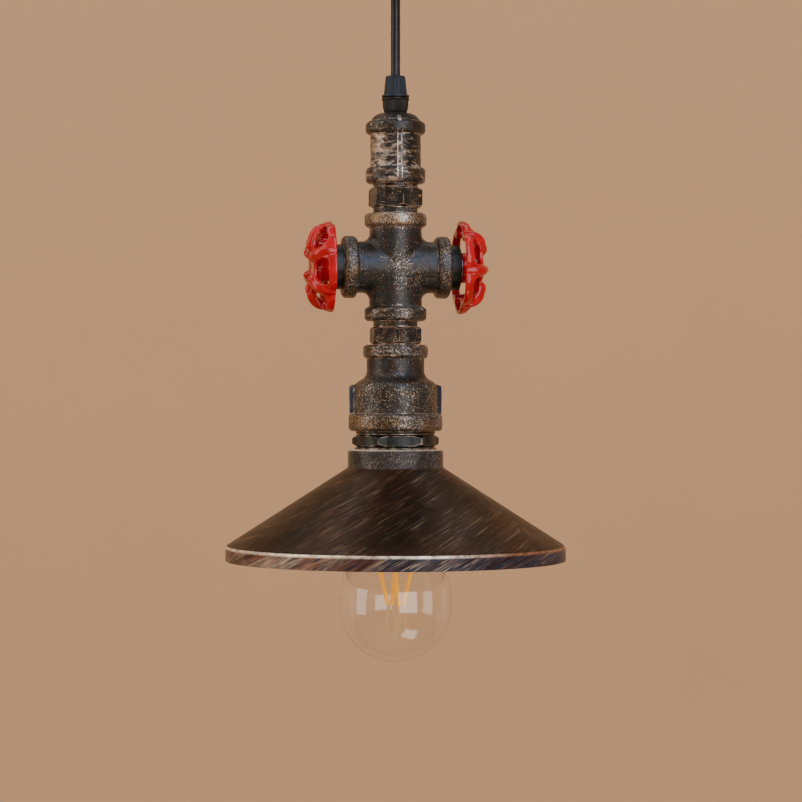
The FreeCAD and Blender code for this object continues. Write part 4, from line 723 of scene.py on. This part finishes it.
def cross_iron():
    """The cross: fine pale grain on near-black, pale bands, strokes round its foot.

    A blue band without grains runs along the middle of the side arms: a painted sky reflection
    (sheen).
    """
    material, shader, skin = new_finish("bronzed_iron_cross")
    place = shader.use(ROUND_PLACE)
    parts = shader.parts(shader.here())
    level = shader.minus(place["Height"], CROSS_LEVEL * MM)
    upright = shader.work("ABSOLUTE", level)
    across = shader.work("ABSOLUTE", parts["X"])
    on_band = shader.greatest(shader.work("GREATER_THAN", upright, CROSS_BAND * MM),
                              shader.work("GREATER_THAN", across, CROSS_BAND * MM))
    top_band = shader.ramp(level, 18.0 * MM, 21.0 * MM)
    on_arm = shader.ramp(across, 5.0 * MM, 14.0 * MM)
    side_band = shader.ramp(across, 20.0 * MM, 21.0 * MM)
    # The blue band on the side arms, with fewer grains, is a painted reflection of the sky window.
    # It raises the coat's random blue tint.
    painted_sky_sheen = shader.times(shader.within(level, 1.0 * MM, 3.0 * MM, 5.0 * MM), on_arm)
    patches = shader.noise(shader.here(), 60.0, 2.0)
    # More pale grains down the upright's middle, front and back: the real grain made denser as a
    # painted reflection of the front window.
    painted_reflection_column = shader.ramp(across, 2.0 * MM, 12.0 * MM, 0.16, 0.0)
    base = shader.plus(shader.ramp(patches, 0.35, 0.65, 0.12, 0.26), painted_reflection_column)
    on_bands = shader.plus(shader.times(on_band, 0.10), shader.times(top_band, 0.24))
    grains = shader.plus(shader.plus(base, on_bands), shader.times(side_band, 0.13))
    grains = shader.minus(grains, shader.times(painted_sky_sheen, 0.06))
    strokes = shader.plus(shader.ramp(level, -24.0 * MM, -14.0 * MM, 0.22, -0.05),
                          shader.times(on_band, 0.06))
    coat = shader.use(BRUSHED_COAT, {
        "Ring": place["Ring"], "Strokes": strokes, "Grains": grains, "Grain Size": 0.65 * MM,
        "Blue Share": shader.ramp(painted_sky_sheen, 0.0, 1.0, 0.22, 0.62),
        "Warm Share": shader.ramp(on_band, 0.0, 1.0, 0.1, 0.6)})
    finish_cast(shader, skin, coat, coat["Colour"], edge_of_wear(shader))
    return material


def reducer_iron():
    """The reducing socket: fine dull grain, deep blue ribs, gold on its lower band."""
    material, shader, skin = new_finish("bronzed_iron_reducer")
    place = shader.use(ROUND_PLACE)
    drop = shader.minus(REDUCER_TOP * MM, place["Height"])
    low_band = shader.ramp(drop, (REDUCER_LOW_BAND - 0.6) * MM, (REDUCER_LOW_BAND + 0.4) * MM)
    top_band = shader.ramp(drop, (REDUCER_NECK - 0.1) * MM, (REDUCER_NECK + 0.5) * MM, 1.0, 0.0)
    neck = shader.within(drop, 8.0 * MM, 18.0 * MM, 2.0 * MM)
    patches = shader.noise(shader.here(), 60.0, 2.0)
    by_place = shader.plus(shader.times(low_band, 0.10), shader.times(neck, -0.12))
    grains = shader.plus(shader.ramp(patches, 0.35, 0.65, 0.28, 0.46), by_place)
    strokes = shader.plus(-0.2, shader.times(top_band, 0.52))
    coat = shader.use(BRUSHED_COAT, {"Ring": place["Ring"], "Strokes": strokes, "Grains": grains,
                                     "Grain Size": 0.7 * MM, "Blue Share": 0.22,
                                     "Warm Share": shader.ramp(low_band, 0.0, 1.0, 0.5, 0.75)})
    proud = shader.work("GREATER_THAN", place["Radius"], 22.9 * MM)
    ribs = shader.times(shader.times(proud, shader.minus(1.0, low_band)),
                        shader.ramp(coat["Brushed"], 0.3, 0.6, 1.0, 0.6))
    colour = shader.mix(ribs, coat["Colour"], RIB_BLUE)
    finish_cast(shader, skin, coat, colour, edge_of_wear(shader, 0.8))
    return material


HAIRLINE_SLOPE = 29


def bronzed_sheet():
    """Spun sheet in dark bronze, hand brushed in slanting hairlines, worn at its edges. The bright
    edge lines are partly painted highlights, pale on the left and copper-dark on the right as
    painted light and shade.

    The surface falls into three sectors round the axis, their borders ragged. In each, the
    hairlines rise to the right at one slope as seen from that side.
    """
    material, shader, skin = new_finish("bronzed_sheet")
    place = shader.use(ROUND_PLACE)
    here = shader.here()
    parts = shader.parts(here)
    wobble = shader.noise(shader.stretched(place["Ring"], (1.0, 1.0, 60.0)), 3.0, 3.0)
    third = TAU / 3
    front = math.radians(CAMERA_TURN - 90)
    ragged_turn = shader.ramp(wobble, 0.2, 0.8, -0.2 - front, 0.2 - front)
    turns = shader.work("DIVIDE", shader.plus(place["Angle"], ragged_turn), third)
    sector = shader.work("ROUND", turns)
    facing = shader.plus(shader.times(sector, third), front)
    aside = shader.minus(shader.times(parts["Y"], shader.work("COSINE", facing)),
                         shader.times(parts["X"], shader.work("SINE", facing)))
    slope = math.radians(HAIRLINE_SLOPE)
    along = shader.plus(shader.times(aside, math.cos(slope)),
                        shader.times(parts["Z"], math.sin(slope)))
    over = shader.minus(shader.times(parts["Z"], math.cos(slope)),
                        shader.times(aside, math.sin(slope)))
    lines = shader.joined({"X": along, "Y": over, "Z": sector})
    hair = shader.noise(shader.stretched(lines, (75.0, 3200.0, 9.0)), 1.0, 2.0, 0.6)
    strands = shader.noise(shader.stretched(lines, (45.0, 520.0, 9.0)), 1.0, 3.0, 0.6)
    cloud = shader.noise(here, 26.0, 3.0)
    flecks = shader.noise(here, 1900.0, 4.0, 0.7)
    dusty = shader.noise(here, 140.0, 3.0, 0.6)
    depth = shader.minus(SHADE_TOP * MM, place["Height"])
    on_skirt = shader.ramp(depth, SHADE_SKIRT * MM, (SHADE_SKIRT + 1.4) * MM)
    on_collar = shader.within(depth, -1.0 * MM, SHADE_COLLAR * MM, 1.0 * MM)
    ground = shader.mix(shader.ramp(cloud, 0.35, 0.65), DARK_UMBER, UMBER)
    bluish = shader.times(on_skirt, shader.ramp(strands, 0.35, 0.5))
    ground = shader.mix(bluish, ground, SLATE)
    ground = shader.mix(shader.times(on_collar, 0.7), ground, SOOT)
    ground = shader.mix(shader.ramp(flecks, 0.3, 0.45, 0.7, 0.0), ground, BLACK)
    # Rises towards the right: painted shade that turns the rim line copper-dark there.
    painted_shade_right = shader.ramp(parts["X"], 10.0 * MM, 50.0 * MM)
    # More pale hairlines on the left of the skirt: painted light, with the left side lit.
    painted_light_left_skirt = shader.times(on_skirt,
                                 shader.ramp(parts["X"], -55.0 * MM, -15.0 * MM, 0.44, 0.0))
    share = shader.plus(shader.ramp(cloud, 0.35, 0.65, 0.22, 0.46), painted_light_left_skirt)
    fine = shader.times(covered(shader, hair, share, 0.07),
                        shader.ramp(strands, 0.40, 0.62, 0.2, 1.0))
    fine = shader.times(fine, shader.ramp(on_skirt, 0.0, 1.0, 0.31, 0.8))
    specks = shader.times(covered(shader, flecks, 0.42, 0.12),
                          shader.ramp(on_collar, 0.0, 1.0, 0.05, 0.55))
    specks = shader.times(specks, shader.ramp(dusty, 0.38, 0.62, 0.15, 1.0))
    fine = shader.times(fine, shader.ramp(on_collar, 0.0, 1.0, 1.0, 0.3))
    tint = shader.noise(shader.stretched(lines, (30.0, 160.0, 9.0)), 1.0, 3.0)
    metal = shader.mix(shader.ramp(tint, 0.42, 0.58), BEIGE, COPPER)
    metal = shader.mix(on_collar, metal, SILVER)
    # The bright lines round the skirt's top edge and the collar's top edge: partly rubbed-through
    # paint, partly a painted highlight.
    outside = shader.ramp(place["Radius"], 89.1 * MM, 89.5 * MM)
    rim = shader.within(depth, SHADE_SKIRT * MM, (SHADE_SKIRT + 0.8) * MM, 0.9 * MM)
    rim = shader.times(rim, outside)
    collar_edge = shader.within(depth, -0.2 * MM, 0.4 * MM, 0.5 * MM)
    ragged = shader.ramp(shader.noise(here, 260.0, 4.0, 0.75), 0.36, 0.56, 0.25, 1.0)
    worn = shader.times(shader.greatest(rim, collar_edge), ragged)
    light = shader.greatest(shader.greatest(fine, specks), worn)
    rim_colour_lit_and_shaded = shader.mix(painted_shade_right, WORN_AND_HIGHLIT_RIM, SHADED_COPPER_RIM)
    colour = shader.mix(shader.greatest(fine, specks), ground, metal)
    shader.feed(skin["Base Color"], shader.mix(worn, colour, rim_colour_lit_and_shaded))
    shader.feed(skin["Metallic"], shader.ramp(light, 0.0, 1.0, 0.1, 0.7))
    gloss = shader.ramp(on_collar, 0.0, 1.0, 0.36, 0.27)
    shader.feed(skin["Roughness"], shader.plus(gloss, shader.ramp(hair, 0.3, 0.7, 0.06, -0.04)))
    skin["Specular IOR Level"].default_value = 0.13
    shader.feed(skin["Normal"], bump(shader, hair, 0.3, 0.12 * MM))
    return material


def blackened_iron():
    """Machined iron, blackened with green and brown tints, specked, worn on its edges."""
    material, shader, skin = new_finish("blackened_iron")
    here = shader.here()
    place = shader.use(ROUND_PLACE)
    cloud = shader.noise(here, 120.0, 3.0, 0.6)
    broad_part = shader.ramp(place["Radius"], 13.8 * MM, 15.2 * MM)
    grains = shader.minus(shader.ramp(cloud, 0.38, 0.62, 0.20, 0.48),
                          shader.times(broad_part, 0.28))
    coat = shader.use(BRUSHED_COAT, {"Ring": place["Ring"], "Strokes": 0.0,
                                     "Grains": grains, "Grain Size": 0.55 * MM,
                                     "Blue Share": 0.12, "Warm Share": 0.6})
    worn = shader.use(EDGE_WEAR, {"Width": 0.8 * MM, "Break Up": 300.0,
                                  "Amount": shader.ramp(broad_part, 0.0, 1.0, 1.7, 0.6)})["Mask"]
    dark = shader.mix(shader.ramp(broad_part, 0.0, 1.0, 0.1, 0.7), coat["Colour"], GREEN_BLACK)
    shader.feed(skin["Base Color"], shader.mix(worn, dark, WORN_HEXAGON))
    shader.feed(skin["Metallic"], shader.ramp(worn, 0.0, 1.0, 0.2, 0.9))
    shader.feed(skin["Roughness"], shader.ramp(cloud, 0.3, 0.7, 0.32, 0.46))
    skin["Specular IOR Level"].default_value = 0.33
    shader.feed(skin["Normal"], bump(shader, coat["Height"], 0.4, 0.12 * MM))
    return material


def red_enamel():
    """Thick glossy red enamel over a casting, with a slow ripple and a few dull specks."""
    material, shader, skin = new_finish("red_enamel")
    here = shader.here()
    ripple = shader.noise(here, 150.0, 2.0)
    specks = shader.noise(here, 1200.0, 3.0, 0.7)
    paint = shader.mix(shader.ramp(ripple, 0.35, 0.65), DEEP_RED, RED)
    paint = shader.mix(shader.ramp(specks, 0.62, 0.76, 0.0, 0.3), paint, DARK_RED)
    shader.feed(skin["Base Color"], paint)
    shader.feed(skin["Roughness"], shader.ramp(ripple, 0.3, 0.7, 0.34, 0.46))
    skin["Specular IOR Level"].default_value = 0.1
    skin["Coat Weight"].default_value = 0.65
    skin["Coat Roughness"].default_value = 0.02
    shader.feed(skin["Normal"], bump(shader, ripple, 0.15, 0.3 * MM))
    return material


def plain_metal(name, colour, rough):
    """Plated or brushed metal with fine scratches and slightly uneven gloss."""
    material, shader, skin = new_finish(name)
    here = shader.here()
    cloud = shader.noise(here, 240.0, 3.0)
    scratch = shader.noise(shader.stretched(here, (1.0, 1.0, 14.0)), 900.0, 4.0, 0.7)
    dull = tuple(0.72 * c for c in colour[:3]) + (1,)
    shader.feed(skin["Base Color"], shader.mix(shader.ramp(cloud, 0.35, 0.65), dull, colour))
    skin["Metallic"].default_value = 1.0
    shader.feed(skin["Roughness"], shader.ramp(scratch, 0.3, 0.7, rough, rough + 0.18))
    shader.feed(skin["Normal"], bump(shader, scratch, 0.15, 0.03 * MM))
    return material


def moulded(name, colour, rough, pale=None, strength=0.2):
    """Moulded plastic or rubber with a fine leathery skin and a breath of dust."""
    material, shader, skin = new_finish(name)
    here = shader.here()
    cloud = shader.noise(here, 200.0, 3.0)
    leather = shader.noise(here, 1400.0, 4.0, 0.65)
    pale = pale or tuple(min(1.0, 1.6 * c + 0.006) for c in colour[:3]) + (1,)
    shader.feed(skin["Base Color"], shader.mix(shader.ramp(cloud, 0.4, 0.7, 0.0, 0.6), colour, pale))
    shader.feed(skin["Roughness"], shader.ramp(leather, 0.3, 0.7, rough, rough + 0.15))
    skin["Specular IOR Level"].default_value = 0.3
    shader.feed(skin["Normal"], bump(shader, leather, strength, 0.05 * MM))
    return material


def clear_glass():
    """Clear glass with the faint waviness of a blown bulb."""
    material, shader, skin = new_finish("clear_glass")
    wave = shader.noise(shader.here(), 45.0, 1.0)
    skin["Base Color"].default_value = (1.0, 1.0, 1.0, 1)
    skin["Roughness"].default_value = 0.0
    skin["IOR"].default_value = 1.5
    skin["Transmission Weight"].default_value = 1.0
    shader.feed(skin["Normal"], bump(shader, wave, 0.05, 1.0 * MM))
    return material


def amber_coating():
    """The amber coat of a filament rod, its beads showing faintly through, with a faint painted glow
    though the bulb is unlit.
    """
    material, shader, skin = new_finish("amber_coating")
    here = shader.here()
    height = shader.parts(here)["Z"]
    beads = shader.work("SINE", shader.times(height, TAU / (1.3 * MM)))
    cloud = shader.noise(here, 500.0, 3.0)
    colour = shader.mix(shader.ramp(cloud, 0.35, 0.65), AMBER, BRIGHT_AMBER)
    colour = shader.mix(shader.ramp(beads, 0.2, 1.0, 0.0, 0.35), colour, PALE_AMBER)
    shader.feed(skin["Base Color"], colour)
    skin["Roughness"].default_value = 0.42
    # A painted glow: the unlit filament gives off light in its own colour.
    shader.feed(skin["Emission Color"], colour)
    skin["Emission Strength"].default_value = 0.6
    shader.feed(skin["Normal"], bump(shader, beads, 0.12, 0.1 * MM))
    return material


FINISHES = {
    "bronzed_iron": cross_iron(),
    "bronzed_sheet": bronzed_sheet(),
    "blackened_iron": blackened_iron(),
    "steel": plain_metal("steel", (0.60, 0.60, 0.58, 1), 0.28),
    "red_enamel": red_enamel(),
    "black_plastic": moulded("black_plastic", (0.014, 0.022, 0.034, 1), 0.45,
                             pale=(0.022, 0.034, 0.050, 1)),
    "cord_jacket": moulded("cord_jacket", (0.010, 0.013, 0.019, 1), 0.22),
    "grommet_rubber": moulded("grommet_rubber", (0.02, 0.02, 0.02, 1), 0.7),
    "connector_plastic": moulded("connector_plastic", (0.78, 0.76, 0.70, 1), 0.45,
                                 pale=(0.84, 0.82, 0.77, 1)),
    "brown_insulation": moulded("brown_insulation", (0.16, 0.05, 0.02, 1), 0.35),
    "blue_insulation": moulded("blue_insulation", (0.02, 0.07, 0.32, 1), 0.35),
    "brass": plain_metal("brass", (0.72, 0.50, 0.20, 1), 0.22),
    "lampholder_plastic": moulded("lampholder_plastic", (0.015, 0.013, 0.012, 1), 0.25),
    "clear_glass": clear_glass(),
    "black_glass": moulded("black_glass", (0.012, 0.012, 0.02, 1), 0.08, strength=0.02),
    "cap_metal": plain_metal("cap_metal", (0.74, 0.73, 0.69, 1), 0.2),
    "amber_coating": amber_coating(),
    "lead_wire": plain_metal("lead_wire", (0.55, 0.53, 0.50, 1), 0.35),
}


def dress(thing, finish):
    """Give every material slot of an object one finish."""
    if not thing.material_slots:
        thing.data.materials.append(finish)
    for slot in thing.material_slots:
        slot.material = finish


for part in frame["record"]["subparts"]:
    dress(nodes[part["node"]], FINISHES[part["material_slot"]])
dress(cord_jacket, FINISHES["cord_jacket"])
dress(relief_base, moulded("black_plastic_base", (0.006, 0.007, 0.006, 1), 0.4))
dress(cast_cross, FINISHES["bronzed_iron"])
dress(cast_top_socket, socket_iron())
dress(cast_reducer_socket, reducer_iron())
for wheel in painted_wheels:
    dress(wheel, FINISHES["red_enamel"])


# Studio

def backdrop():
    """A pale floor far below that sweeps up on all sides into a plain wall."""
    radius, floor, sweep, top = 4000.0, -2300.0, 1500.0, 3000.0
    turn = np.linspace(0, math.pi / 2, 24)
    across = np.concatenate([[0.0], radius - sweep + sweep * np.sin(turn), [radius]])
    height = np.concatenate([[floor], floor + sweep * (1 - np.cos(turn)), [top]])
    points, index = rings(across, height, 96)
    thing = mesh_object("backdrop", points, bands_between(index[:-1], index[1:]))
    material, shader, skin = new_finish("backdrop_paint")
    cloud = shader.noise(shader.here(), 3.0, 4.0)
    shader.feed(skin["Base Color"], shader.mix(cloud, SAND, PALE_SAND))
    skin["Roughness"].default_value = 0.9
    thing.data.materials.append(material)


def soft_light(name, place, aim, size, power, colour):
    """A soft rectangular light at a place, aimed at a point, with a width and a height."""
    data = bpy.data.lights.new(name, "AREA")
    data.shape = "RECTANGLE"
    data.size, data.size_y = size
    data.energy = power
    data.color = colour
    stand(link(name, data), place, Vector(aim) - Vector(place))


def around(turn, distance, height):
    """A place at an angle from the front, to the right as seen from the front."""
    angle = math.radians(turn)
    return (distance * math.sin(angle), -distance * math.cos(angle), height)


def studio():
    """Two tall windows, one in front with blue sky in its upper half, and lit walls.

    The room's own tint fills what lies above the walls.
    """
    backdrop()
    middle = (0, 0, -0.30)
    soft_light("left_window", around(-83, 1.3, 0.15), middle, (0.65, 1.9), 10, (1.0, 0.96, 0.88))
    soft_light("front_window", around(17, 2.2, -0.15), middle, (1.5, 1.3), 24, (1.0, 0.97, 0.93))
    soft_light("sky_window", around(17, 2.2, 1.35), middle, (1.5, 1.7), 42, SKYLIGHT)
    soft_light("floor_bounce", around(34, 0.55, -1.08), (0, 0, -0.355), (0.42, 0.3), 1.4,
               (1.0, 0.88, 0.72))
    for name, turn, power in (("back", 173, 26), ("left", 263, 26), ("front", 353, 24),
                              ("right", 83, 12)):
        wall = around(turn, 4.0, -0.4)
        soft_light(f"{name}_wall_wash", around(turn, 0.9, 1.7), wall, (1.8, 0.8), power, DAYLIGHT)
    world = bpy.data.worlds.new("room")
    world.use_nodes = True
    ambient = world.node_tree.nodes["Background"]
    ambient.inputs["Color"].default_value = ROOM
    ambient.inputs["Strength"].default_value = 1.0
    bpy.context.scene.world = world


studio()

bpy.context.view_layer.update()
